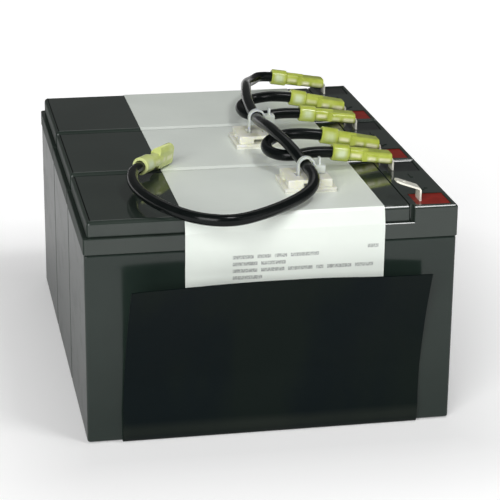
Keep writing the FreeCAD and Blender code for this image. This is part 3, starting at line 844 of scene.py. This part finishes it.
class Finishes:
    """Every finish of the cartridge, made once."""

    def __init__(self) -> None:
        """Make the materials."""
        self.case = MouldedAbs().make()
        self.lid = MouldedAbs(
            "moulded_abs_lid", (0.0180, 0.0262, 0.0215), (0.0245, 0.0338, 0.0280), roughness=0.07,
            index=1.5, end_roughness=0.5, end_level=0.05,
            pits=Pattern(0.0005, 2.0, 0.6, depth=0.0000025)).make()
        self.label = LabelFilm().make()
        self.sheet = SheetFilm().make()
        self.connector = SleeveNylon().make()
        self.empty_connector = SleeveNylon(
            "pale_yellow_green_nylon", (0.70, 0.79, 0.24), (0.82, 0.89, 0.40)).make()
        self.mount = Nylon(
            "natural_nylon", (0.90, 0.91, 0.74), (0.95, 0.95, 0.84), through=0.15).make()
        self.tie = Nylon(
            "white_nylon", (0.70, 0.75, 0.70), (0.78, 0.83, 0.78), through=0.25, soft=0.25).make()
        self.wire = WirePvc().make()
        self.tin = PlatedMetal(
            "tinned_brass", (0.98, 0.97, 0.87), (0.90, 0.89, 0.77), roughness=0.45,
            metallic=0.6).make()
        self.brass = PlatedMetal(
            "receptacle_brass", (0.82, 0.70, 0.42), (0.58, 0.46, 0.24), roughness=0.3).make()
        self.lead = PlatedMetal(
            "lead_metal", (0.26, 0.27, 0.29), (0.14, 0.145, 0.155), roughness=0.42).make()
        self.red = SealResin(
            "red_resin", (0.190, 0.0090, 0.0040), (0.260, 0.0140, 0.0060)).make()
        self.dark = SealResin(
            "dark_resin", (0.0120, 0.0145, 0.0140), (0.0200, 0.0235, 0.0220)).make()
        self.foam = Foam().make()
        self.rubber = Rubber().make()
        self.plates = PlateStack().make()


# ---- Meshes -------------------------------------------------------------------------------
def corners(box: Box) -> tuple[Vector, Vector]:
    """Lowest and highest corner of a box, as vectors."""
    return Vector(box[0]), Vector(box[1])


def at_side(edge: bmesh.types.BMEdge, box: Box, within: float) -> bool:
    """Whether an edge lies along an upright side of a box.

    Args:
        edge: The edge.
        box: The box.
        within: How near the side both of its ends have to be.

    Returns:
        True where it does.
    """
    low, high = corners(box)
    return all(min(v.co.x - low.x, high.x - v.co.x) < within
               or min(v.co.y - low.y, high.y - v.co.y) < within for v in edge.verts)


class Workshop:
    """Makes meshes from the solids and dresses the pieces."""

    def __init__(self, frame: Mapping[str, Any]) -> None:
        """Keep the frame.
        """
        self.nodes: Mapping[str, bpy.types.Object] = frame["nodes"]

    def dress(self, node: str, material: bpy.types.Material) -> None:
        """Give a solid that stays as it is its finish.

        Args:
            node: The solid's name.
            material: Its finish.
        """
        solid = self.nodes[node]
        if not solid.material_slots:
            solid.data.materials.append(material)
        for slot in solid.material_slots:
            slot.material = material
        LOG.info("%s dressed in %s", node, material.name)

    def merged(self, node: str) -> bmesh.types.BMesh:
        """A merged copy of a solid's mesh, with its flat faces whole.

        Args:
            node: The solid's name.

        Returns:
            The mesh.
        """
        mesh = bmesh.new()
        mesh.from_mesh(self.nodes[node].data)
        bmesh.ops.remove_doubles(mesh, verts=mesh.verts[:], dist=SAME_PLACE)
        bmesh.ops.dissolve_limit(mesh, angle_limit=math.radians(SAME_PLANE),
                                 verts=mesh.verts[:], edges=mesh.edges[:])
        return mesh

    def soften(self, mesh: bmesh.types.BMesh, width: float, segments: int,
               choose: Optional[Chooser] = None, sharp: float = 32.0) -> None:
        """Round a mesh's sharp edges.

        Args:
            mesh: The mesh.
            width: Width of the rounding.
            segments: Faces across it. One makes a flat.
            choose: Which sharp edges are rounded. All are, without it.
            sharp: Angle in degrees from which an edge is sharp.
        """
        edges = [e for e in mesh.edges if len(e.link_faces) == 2
                 and e.calc_face_angle(0.0) > math.radians(sharp)
                 and (choose is None or choose(e))]
        bmesh.ops.bevel(mesh, geom=edges, offset=width, offset_type="OFFSET",
                        segments=segments, profile=0.5, affect="EDGES", material=-1,
                        clamp_overlap=False)

    def piece(self, name: str, mesh: bmesh.types.BMesh, material: bpy.types.Material,
              solid: str, sharp: float = 40.0,
              weighted: bool = True) -> bpy.types.Object:
        """Turn a mesh into a finished piece.

        Args:
            name: The piece's name.
            mesh: Its mesh, which is freed.
            material: Its finish.
            solid: The solid that it stands for.
            sharp: Angle in degrees from which an edge stays hard.
            weighted: True where flat faces should lead the shading.

        Returns:
            The piece.
        """
        for face in mesh.faces:
            face.smooth = True
        for edge in mesh.edges:
            edge.smooth = len(edge.link_faces) != 2 or (
                edge.calc_face_angle(0.0) < math.radians(sharp))
        data = bpy.data.meshes.new(name)
        mesh.to_mesh(data)
        mesh.free()
        data.materials.append(material)
        made = bpy.data.objects.new(name, data)
        bpy.context.scene.collection.objects.link(made)
        if weighted:
            even = made.modifiers.new("even_shading", "WEIGHTED_NORMAL")
            even.keep_sharp = True
        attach(made, BODY)
        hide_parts(solid)
        LOG.info("%s made with %d faces", name, len(data.polygons))
        return made

    def rounded(self, name: str, solid: str, material: bpy.types.Material,
                width: float, segments: int = 2, choose: Optional[Chooser] = None) -> None:
        """Make a piece that is a solid with its edges rounded.

        Args:
            name: The piece's name.
            solid: The solid that it is made from and stands for.
            material: Its finish.
            width: Width of the rounding.
            segments: Faces across it.
            choose: Which sharp edges are rounded. All are, without it.
        """
        mesh = self.merged(solid)
        self.soften(mesh, width, segments, choose)
        self.piece(name, mesh, material, solid)


# ---- Cords ----------------------------------------------------------------------------------
@dataclass
class Wire:
    """One insulated wire on a smooth line.

    Attributes:
        name: Its name.
        length: Its real length. Not used.
        points: The points that its line follows.
        far_end: What is on its far end. Not used.
        with_pieces: The separate pieces on it. Not used.
        diameter: Its diameter.
        steps: Stretches of the curve for each of its points.
        sides: Fineness of its round section.
    """

    name: str
    length: float
    points: Sequence[Point]
    far_end: str = "object"
    with_pieces: Sequence[Piece] = ()
    diameter: float = 0.0048
    steps: int = 14
    sides: int = 7

    def build(self, finishes: Finishes) -> None:
        """Args:
            finishes: The cartridge's finishes.
        """
        data = bpy.data.curves.new(self.name, "CURVE")
        data.dimensions = "3D"
        data.resolution_u = self.steps
        data.bevel_depth = self.diameter / 2
        data.bevel_resolution = self.sides
        data.use_fill_caps = True
        line = data.splines.new("NURBS")
        line.points.add(len(self.points) - 1)
        for target, point in zip(line.points, self.points):
            target.co = (*point, 1.0)
        line.order_u = 3
        line.use_endpoint_u = True
        line.use_smooth = True
        data.materials.append(finishes.wire)
        made = bpy.data.objects.new(self.name, data)
        bpy.context.scene.collection.objects.link(made)
        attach(made, BODY)
        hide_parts(self.name + "_wire")
        LOG.info("%s laid", self.name)


@dataclass
class Harness:
    """The two jumpers and the output lead: the points of each, and its length."""

    front_jumper: Sequence[Point] = (
        (0.043251, -0.0216, 0.102144), (0.030490, -0.0216, 0.104625),
        (0.0180, -0.0190, 0.1036), (0.0100, -0.0262, 0.1020), (0.0100, -0.0386, 0.1014),
        (0.0174, -0.0458, 0.1016),
        (0.030212, -0.0434, 0.102967), (0.043086, -0.0434, 0.101158),
    )
    rear_jumper: Sequence[Point] = (
        (0.043251, 0.0434, 0.102144), (0.030490, 0.0434, 0.104625),
        (0.0180, 0.0456, 0.1028), (0.0110, 0.0386, 0.1016), (0.0110, 0.0266, 0.1010),
        (0.0176, 0.0194, 0.1013),
        (0.030139, 0.0216, 0.102412), (0.043042, 0.0216, 0.100828),
    )
    lead: Sequence[Point] = (
        (0.043135, 0.0866, 0.101488), (0.030295, 0.0866, 0.103522),
        (0.0244, 0.0770, 0.1034), (0.0190, 0.0640, 0.1058), (0.0163, 0.0495, 0.1075),
        (0.0134, 0.0330, 0.1073), (0.0123, 0.0170, 0.1061), (0.0123, 0.0030, 0.1053),
        (0.0120, -0.0100, 0.1069), (0.0126, -0.0225, 0.1085), (0.0142, -0.0350, 0.1082),
        (0.0166, -0.0475, 0.1071), (0.0204, -0.0615, 0.1026), (0.0214, -0.0750, 0.1017),
        (0.0180, -0.0862, 0.0998),
        (0.0085, -0.0958, 0.0982), (-0.0040, -0.1052, 0.0973), (-0.0184, -0.1138, 0.0973),
        (-0.0320, -0.1114, 0.0980), (-0.0425, -0.1000, 0.0990), (-0.0488, -0.0870, 0.0998),
        (-0.0516, -0.0745, 0.1000), (-0.0520, -0.0625, 0.1004),
        (-0.049544, -0.049936, 0.100422), (-0.041877, -0.039451, 0.099898),
    )
    front_length: float = 0.0828
    rear_length: float = 0.0808
    lead_length: float = 0.3294

    def ends(self) -> dict[str, Sequence[Point]]:
        """Find the wire's end in each connector.

        Returns:
            Each connector's name with the last two points of its wire, the end first.
        """
        front, rear, lead = self.front_jumper, self.rear_jumper, self.lead
        return {"middle_positive": front[:2], "front_negative": front[:-3:-1],
                "rear_positive": rear[:2], "middle_negative": rear[:-3:-1],
                "rear_negative": lead[:2], "output_lead": lead[:-3:-1]}

    def build(self, finishes: Finishes, end_pieces: Sequence[Piece]) -> None:
        """Lay the wires.

        Args:
            finishes: The cartridge's finishes.
            end_pieces: The connector at the output lead's end.
        """
        Wire("front_jumper", self.front_length, self.front_jumper).build(finishes)
        Wire("rear_jumper", self.rear_length, self.rear_jumper).build(finishes)
        Wire("output_lead", self.lead_length, self.lead, "connector", end_pieces).build(finishes)


# ---- Batteries ----------------------------------------------------------------------------
@dataclass
class Battery:
    """One sealed battery with its lid, vent cover and terminals.

    Attributes:
        place: Which of the three it is.
        case_edge: Width of the rounding along the case's edges.
        lid_edge: Width of the flat along the lid's edges.
        cover_edge: Width of the rounding along the vent cover's edges.
        tab_edge: Width of the rounding along the terminals' edges.
        rim: The case is left sharp this far below its top, where the lid hides it.
        case_skin: How near an outer side of the case its rounded edges lie.
        lid_skin: How near an outer side of the lid its flats lie.
        mark_height: Height of the raised marks on the lid.
        mark_reach: What the edges of a mark are shorter than.
    """

    place: Place
    case_edge: float = 0.00030
    lid_edge: float = 0.00026
    cover_edge: float = 0.00050
    tab_edge: float = 0.00012
    rim: float = 0.003
    case_skin: float = 0.001
    lid_skin: float = 0.0025
    mark_height: float = 0.0003
    mark_reach: float = 0.005

    def node(self, part: str) -> str:
        """The name of one of this battery's solids."""
        return self.place.value + "_" + part

    def build(self, shop: Workshop, finishes: Finishes) -> None:
        """Make every piece of the battery.

        Args:
            shop: The workshop.
            finishes: The cartridge's finishes.
        """
        solid = self.node("battery_container")
        shop.rounded(self.node("case"), solid, finishes.case, self.case_edge, 3,
                     self._case_chooser(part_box(solid)))
        solid = self.node("battery_lid")
        shop.rounded(self.node("lid"), solid, finishes.lid, self.lid_edge, 1,
                     self._lid_chooser(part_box(solid)))
        shop.rounded(self.node("cover"), self.node("vent_cover"), finishes.lid,
                     self.cover_edge, 3)
        shop.dress(self.node("valve_caps"), finishes.rubber)
        shop.dress(self.node("cell_stacks"), finishes.plates)
        shop.dress(self.node("cell_straps"), finishes.lead)
        for pole in Pole:
            self._terminal(pole, shop, finishes)

    def _case_chooser(self, box: Box) -> Chooser:
        """Pick the case's edges that show.

        Args:
            box: The case's box.

        Returns:
            A test, true for an edge on the case's outside and clear of the lid.
        """
        rim = box[1][2] - self.rim
        return lambda edge: (all(v.co.z < rim for v in edge.verts)
                             and at_side(edge, box, self.case_skin))

    def _lid_chooser(self, box: Box) -> Chooser:
        """Pick the edges of the lid's skirt, ledge and terminal block.

        Args:
            box: The lid's box, with the raised marks on its top.

        Returns:
            A test, true for such an edge and false for a mark's.
        """
        top = box[1][2] - self.mark_height

        def shows(edge: bmesh.types.BMEdge) -> bool:
            """Whether an edge gets a flat.

            Args:
                edge: The edge.

            Returns:
                True where it does.
            """
            heights = [v.co.z - top for v in edge.verts]
            flush = max(abs(h) for h in heights) < LEVEL
            if max(heights) > LEVEL or (flush and edge.calc_length() < self.mark_reach):
                return False
            return at_side(edge, box, self.lid_skin)

        return shows

    def _terminal(self, pole: Pole, shop: Workshop, finishes: Finishes) -> None:
        """Make a blade terminal and the resin round it.

        Args:
            pole: Which terminal it is.
            shop: The workshop.
            finishes: The cartridge's finishes.
        """
        shop.rounded(self.node(pole.value + "_tab"), self.node(pole.value + "_terminal"),
                     finishes.tin, self.tab_edge)
        resin, slot = ((finishes.red, "red_resin") if pole is Pole.POSITIVE
                       else (finishes.dark, "dark_resin"))
        seal = self.node(pole.value + "_seal")
        shop.piece(self.node(pole.value + "_resin"), shop.merged(seal), resin, seal,
                   weighted=False)


# ---- Connectors and ties ----------------------------------------------------------------------
@dataclass
class Connector:
    """Push-on connector: a nylon sleeve over a brass receptacle.

    Attributes:
        name: Its name.
        end: The last two points of its wire, the end first.
        empty: True where it is on no terminal.
        edge: Width of the rounding along the sleeve's edges.
        edge_reach: What the edges that are rounded are longer than.
        edge_sharp: Angle in degrees from which an edge is rounded.
    """

    name: str
    end: Sequence[Point]
    empty: bool = False
    edge: float = 0.00022
    edge_reach: float = 0.0008
    edge_sharp: float = 50.0

    def build(self, shop: Workshop, finishes: Finishes) -> list[Piece]:
        """Make the connector.

        Args:
            shop: The workshop.
            finishes: The cartridge's finishes.

        Returns:
            Its two pieces.
        """
        solid = self.name + "_connector_sleeve"
        mesh = shop.merged(solid)
        shop.soften(mesh, self.edge, 2, lambda e: e.calc_length() > self.edge_reach,
                    self.edge_sharp)
        self._mark(mesh)
        finish = finishes.empty_connector if self.empty else finishes.connector
        sleeve = shop.piece(self.name + "_sleeve", mesh, finish, solid)
        shop.dress(self.name + "_receptacle", finishes.brass)
        return [sleeve, self.name + "_receptacle"]

    def _mark(self, mesh: bmesh.types.BMesh) -> None:
        """Note each vertex's place in the connector's own frame.

        Args:
            mesh: The sleeve's mesh.
        """
        tip, inner = (Vector(p) for p in self.end)
        ahead = (tip - inner).normalized()
        aside = ahead.cross(Vector((0.0, 0.0, 1.0))).normalized()
        frame = Matrix((ahead, aside, aside.cross(ahead)))
        places = [frame @ (v.co - tip) for v in mesh.verts]
        start = min(p.x for p in places)
        layer = mesh.verts.layers.float_vector.new(OWN_FRAME)
        for vert, place in zip(mesh.verts, places):
            vert[layer] = place - Vector((start, 0.0, 0.0))


@dataclass
class TiePoint:
    """Stick-on mount with its foam pad and the cable tie on it.

    Attributes:
        name: Which mount it is.
        mount_edge: Width of the rounding along the mount's edges.
        tie_edge: Width of the rounding along the tie's edges.
    """

    name: str
    mount_edge: float = 0.0002
    tie_edge: float = 0.00014

    def build(self, shop: Workshop, finishes: Finishes) -> None:
        """Make the mount, its pad and its tie.

        Args:
            shop: The workshop.
            finishes: The cartridge's finishes.
        """
        shop.dress(self.name + "_mount_pad", finishes.foam)
        shop.rounded(self.name + "_mount", self.name + "_tie_mount", finishes.mount,
                     self.mount_edge)
        shop.rounded(self.name + "_tie", self.name + "_cable_tie", finishes.tie,
                     self.tie_edge)


# ---- Films ------------------------------------------------------------------------------------
@dataclass
class Films:
    """The wrap-around label and the foam tapes between the cases.

    Attributes:
        tapes: The tapes' names.
        sharp: Angle in degrees from which an edge of the label stays hard.
    """

    tapes: Sequence[str] = ("joining_tape_front", "joining_tape_rear")
    sharp: float = 60.0

    def build(self, shop: Workshop, finishes: Finishes) -> None:
        """Make the label and dress the tapes.

        Args:
            shop: The workshop.
            finishes: The cartridge's finishes.
        """
        shop.piece("label", shop.merged("wrap_label"), finishes.label,
                   "wrap_label", sharp=self.sharp)
        for name in self.tapes:
            shop.dress(name, finishes.foam)


@dataclass
class PullSheet:
    """Plastic sheet, flat under the batteries, folded up and leaning away from them.

    A pair of sizes holds at its left edge and at its right edge.

    Attributes:
        left: Its left edge at the fold, along X.
        right: Its right edge at the fold.
        thickness: Its thickness.
        top: Height of the free edge's corners.
        lean: How far the free edge's corners stand out.
        slant: How far right the free edge has moved.
        straight: Height from which it leans.
        columns: Faces across it.
        rows: Faces along it.
        crowding: Power that crowds the free flap's rows towards the fold.
        bow: How far the free edge rises between its corners.
        bow_lead: Power that brings the bow's top towards the left.
        belly: How far it swells out above the fold.
        belly_share: How many times the belly's height goes into the flap's.
        ripple: Half the height of its waves.
        wave: Length of its main wave, along X.
        wave_drift: How far the waves move right for each metre up.
        wave_start: Phases of its two waves.
        finer: Number of the second wave's lengths in one of the first's.
        finer_share: Height of the second wave against the first.
        wave_rise: How fast the waves grow above the fold. At 2, they are full half way up.
        wave_loss: Share of their height that they lose by the free edge.
        sharp: Angle in degrees from which an edge stays hard.
    """

    left: float = -0.0613
    right: float = 0.0613
    thickness: float = 0.0005
    top: Sequence[float] = (0.0698, 0.0679)
    lean: Sequence[float] = (0.0156, 0.0080)
    slant: float = 0.0024
    straight: float = 0.0140
    columns: int = 60
    rows: int = 90
    crowding: float = 1.4
    bow: float = 0.0016
    bow_lead: float = 0.7
    belly: float = 0.0018
    belly_share: float = 2.6
    ripple: float = 0.0008
    wave: float = 0.078
    wave_drift: float = 0.5
    wave_start: Sequence[float] = (0.9, 0.6)
    finer: float = 1.9
    finer_share: float = 0.35
    wave_rise: float = 2.0
    wave_loss: float = 0.4
    sharp: float = 60.0

    def build(self, shop: Workshop, finishes: Finishes) -> None:
        """Make the sheet.

        Args:
            shop: The workshop.
            finishes: The cartridge's finishes.
        """
        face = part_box("front_battery_container")[0][1]
        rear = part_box("pull_sheet")[1][1]
        mesh = bmesh.new()
        bmesh.ops.create_grid(mesh, x_segments=self.columns, y_segments=self.rows, size=0.5)
        for vert in mesh.verts:
            across, run = vert.co.x + 0.5, 2.0 * (vert.co.y + 0.5)
            x = self.left + across * (self.right - self.left)
            if run < 1.0:
                vert.co = (x, rear + run * (face - rear), self.thickness)
            else:
                vert.co = self._flap(x, across, (run - 1.0) ** self.crowding, face)
        bmesh.ops.recalc_face_normals(mesh, faces=mesh.faces[:])
        bmesh.ops.solidify(mesh, geom=mesh.faces[:], thickness=self.thickness)
        shop.piece("pull_film", mesh, finishes.sheet, "pull_sheet",
                   sharp=self.sharp, weighted=False)

    def _flap(self, x: float, across: float, rise: float, face: float) -> Vector:
        """Find a place on the inner side of the sheet's free flap.

        Args:
            x: Distance along the batteries at the fold.
            across: The same, from 0 at the left edge to 1 at the right.
            rise: From 0 at the fold to 1 at the free edge.
            face: Where the case's front is.

        Returns:
            The place.
        """
        top = self.top[0] + across * (self.top[1] - self.top[0])
        top += self.bow * math.sin(math.pi * across ** self.bow_lead)
        lean = self.lean[0] + across * (self.lean[1] - self.lean[0])
        z = self.thickness + rise * (top - self.thickness)
        free = max(0.0, (z - self.straight) / (top - self.straight))
        phase = (x - self.wave_drift * z) / self.wave * math.tau
        swell = math.sin(phase + self.wave_start[0]) + self.finer_share * math.sin(
            self.finer * phase + self.wave_start[1])
        belly = math.sin(math.pi * math.sqrt(min(1.0, self.belly_share * rise)))
        out = lean * free ** 2 + self.belly * belly
        out += self.ripple * (1.0 + swell) * min(1.0, self.wave_rise * rise) * (
            1.0 - self.wave_loss * rise)
        return Vector((x + self.slant * free, face - out, z))


# ---- Studio -------------------------------------------------------------------------------------
@dataclass(frozen=True)
class Lamp:
    """One soft square lamp, aimed at the object's middle."""

    name: str
    place: Point
    size: float
    watts: float
    target: Point = (0.0, 0.0, 0.05)

    def build(self) -> None:
        """Hang the lamp."""
        data = bpy.data.lights.new(self.name, "AREA")
        data.shape = "SQUARE"
        data.size = self.size
        data.energy = self.watts
        made = bpy.data.objects.new(self.name, data)
        bpy.context.scene.collection.objects.link(made)
        made.location = self.place
        aim = Vector(self.target) - Vector(self.place)
        made.rotation_euler = aim.to_track_quat("-Z", "Y").to_euler()


@dataclass
class Studio:
    """Camera, lamps, world and floor.

    Attributes:
        eye: Where the camera stands.
        yaw: How far it looks to the right of the rear, in degrees.
        down: How far it looks down, in degrees.
        roll: How far it leans, in degrees.
        lens: Its focal length, in millimetres.
        sensor: Width of its sensor, in millimetres.
        nearest: How near it starts to see.
        world: Grey of the world.
        floor_size: Length of the floor's sides.
        floor_white: Colour of the floor under the lamps.
        reaches: Three distances from the object.
        glows: How bright the floor shows of itself at each, least near the object as painted shade
            round it.
        lamps: The lamps.
    """

    eye: Point = (-0.142206, -0.780045, 0.324318)
    yaw: float = 10.998
    down: float = 19.401
    roll: float = 0.533
    lens: float = 133.944
    sensor: float = 36.0
    nearest: float = 0.05
    world: float = 0.12
    floor_size: float = 40.0
    floor_white: float = 0.72
    reaches: Sequence[float] = (0.0, 0.10, 1.1)
    glows: Sequence[float] = (0.22, 0.56, 0.98)
    lamps: Sequence[Lamp] = (
        Lamp("key", (-0.70, -1.35, 0.72), size=1.0, watts=24.0),
        Lamp("front_top", (0.10, -1.20, 1.25), size=1.2, watts=1.0),
        Lamp("edge", (0.41, -0.51, 1.29), size=0.28, watts=4.8),
        Lamp("fill", (1.15, -0.80, 0.60), size=0.9, watts=2.0),
        Lamp("back", (0.25, 1.25, 1.45), size=0.9, watts=2.5),
    )

    def camera(self) -> None:
        """Set up the camera."""
        yaw, down, roll = (math.radians(a) for a in (self.yaw, self.down, self.roll))
        ahead = Vector((math.sin(yaw) * math.cos(down), math.cos(yaw) * math.cos(down),
                        -math.sin(down)))
        right = ahead.cross(Vector((0.0, 0.0, 1.0))).normalized()
        up = right.cross(ahead)
        turned_right = right * math.cos(roll) + up * math.sin(roll)
        turned_up = up * math.cos(roll) - right * math.sin(roll)
        data = bpy.data.cameras.new("camera")
        data.lens = self.lens
        data.sensor_width = self.sensor
        data.clip_start = self.nearest
        made = bpy.data.objects.new("camera", data)
        bpy.context.scene.collection.objects.link(made)
        turn = Matrix((turned_right, turned_up, -ahead)).transposed()
        made.matrix_world = Matrix.Translation(Vector(self.eye)) @ turn.to_4x4()
        bpy.context.scene.camera = made

    def light(self) -> None:
        """Hang the lamps and set the world."""
        for lamp in self.lamps:
            lamp.build()
        world = bpy.data.worlds.new("studio")
        world.use_nodes = True
        world.node_tree.nodes["Background"].inputs["Color"].default_value = (
            self.world, self.world, self.world, 1.0)
        bpy.context.scene.world = world

    def floor(self, footprint: Box) -> None:
        """Lay a plain white floor that keeps the shadow, with painted shade round the object.

        Args:
            footprint: Lowest and highest corner of the object.
        """
        mesh = bmesh.new()
        bmesh.ops.create_grid(mesh, x_segments=1, y_segments=1, size=self.floor_size / 2)
        data = bpy.data.meshes.new("floor")
        mesh.to_mesh(data)
        mesh.free()
        made = bpy.data.objects.new("floor", data)
        bpy.context.scene.collection.objects.link(made)
        data.materials.append(self._floor_paint(footprint))
        made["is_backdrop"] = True

    def _floor_paint(self, footprint: Box) -> bpy.types.Material:
        """Make the floor's finish, which shows whiter away from the object, its dimmer glow near
        it being painted shade.

        Args:
            footprint: Lowest and highest corner of the object.

        Returns:
            The material.
        """
        r = Recipe("floor_white")
        straight, glossy, through = (
            r.node("ShaderNodeLightPath", output=name)
            for name in ("Is Camera Ray", "Is Glossy Ray", "Is Transmission Ray"))
        low, high = corners(footprint)
        beyond = r.vector("SUBTRACT", r.vector("ABSOLUTE", r.vector(
            "SUBTRACT", r.place(), tuple((low + high) / 2))), tuple((high - low) / 2))
        flat_out = r.vector("MULTIPLY", r.vector("MAXIMUM", beyond, (0.0, 0.0, 0.0)),
                            (1.0, 1.0, 0.0))
        reach = r.node("ShaderNodeVectorMath", {"operation": "LENGTH"}, {0: flat_out}, "Value")
        # Painted shade: the floor glows less near the object.
        white = r.window(reach, *self.reaches[:2], *self.glows[:2]) + r.window(
            reach, *self.reaches[1:], 0.0, self.glows[2] - self.glows[1])
        glow = straight.highest(glossy).highest(through) * white
        flat = r.node("ShaderNodeBsdfDiffuse", None, {"Color": (self.floor_white,) * 3})
        light = r.node("ShaderNodeEmission", None, {
            "Color": r.blend(glow, (0.0, 0.0, 0.0), (1.0, 1.0, 1.0)), "Strength": 1.0})
        return r.finished(r.node("ShaderNodeAddShader", None, {0: flat, 1: light}))


def main() -> None:
    """Build the cartridge and the studio round it."""
    logging.basicConfig(level=logging.INFO, format="%(message)s")
    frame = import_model()
    solid_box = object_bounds()
    studio = Studio()
    studio.camera()
    finishes = Finishes()
    shop = Workshop(frame)
    harness = Harness()
    pieces = [Connector(name, end, name == "output_lead").build(shop, finishes)
              for name, end in harness.ends().items()]
    harness.build(finishes, pieces[-1])
    for place in Place:
        Battery(place).build(shop, finishes)
    Films().build(shop, finishes)
    PullSheet().build(shop, finishes)
    for name in ("rear", "front"):
        TiePoint(name).build(shop, finishes)
    studio.light()
    studio.floor(solid_box)
    bpy.context.scene.view_settings.view_transform = "Standard"


if __name__ == "__main__":
    main()
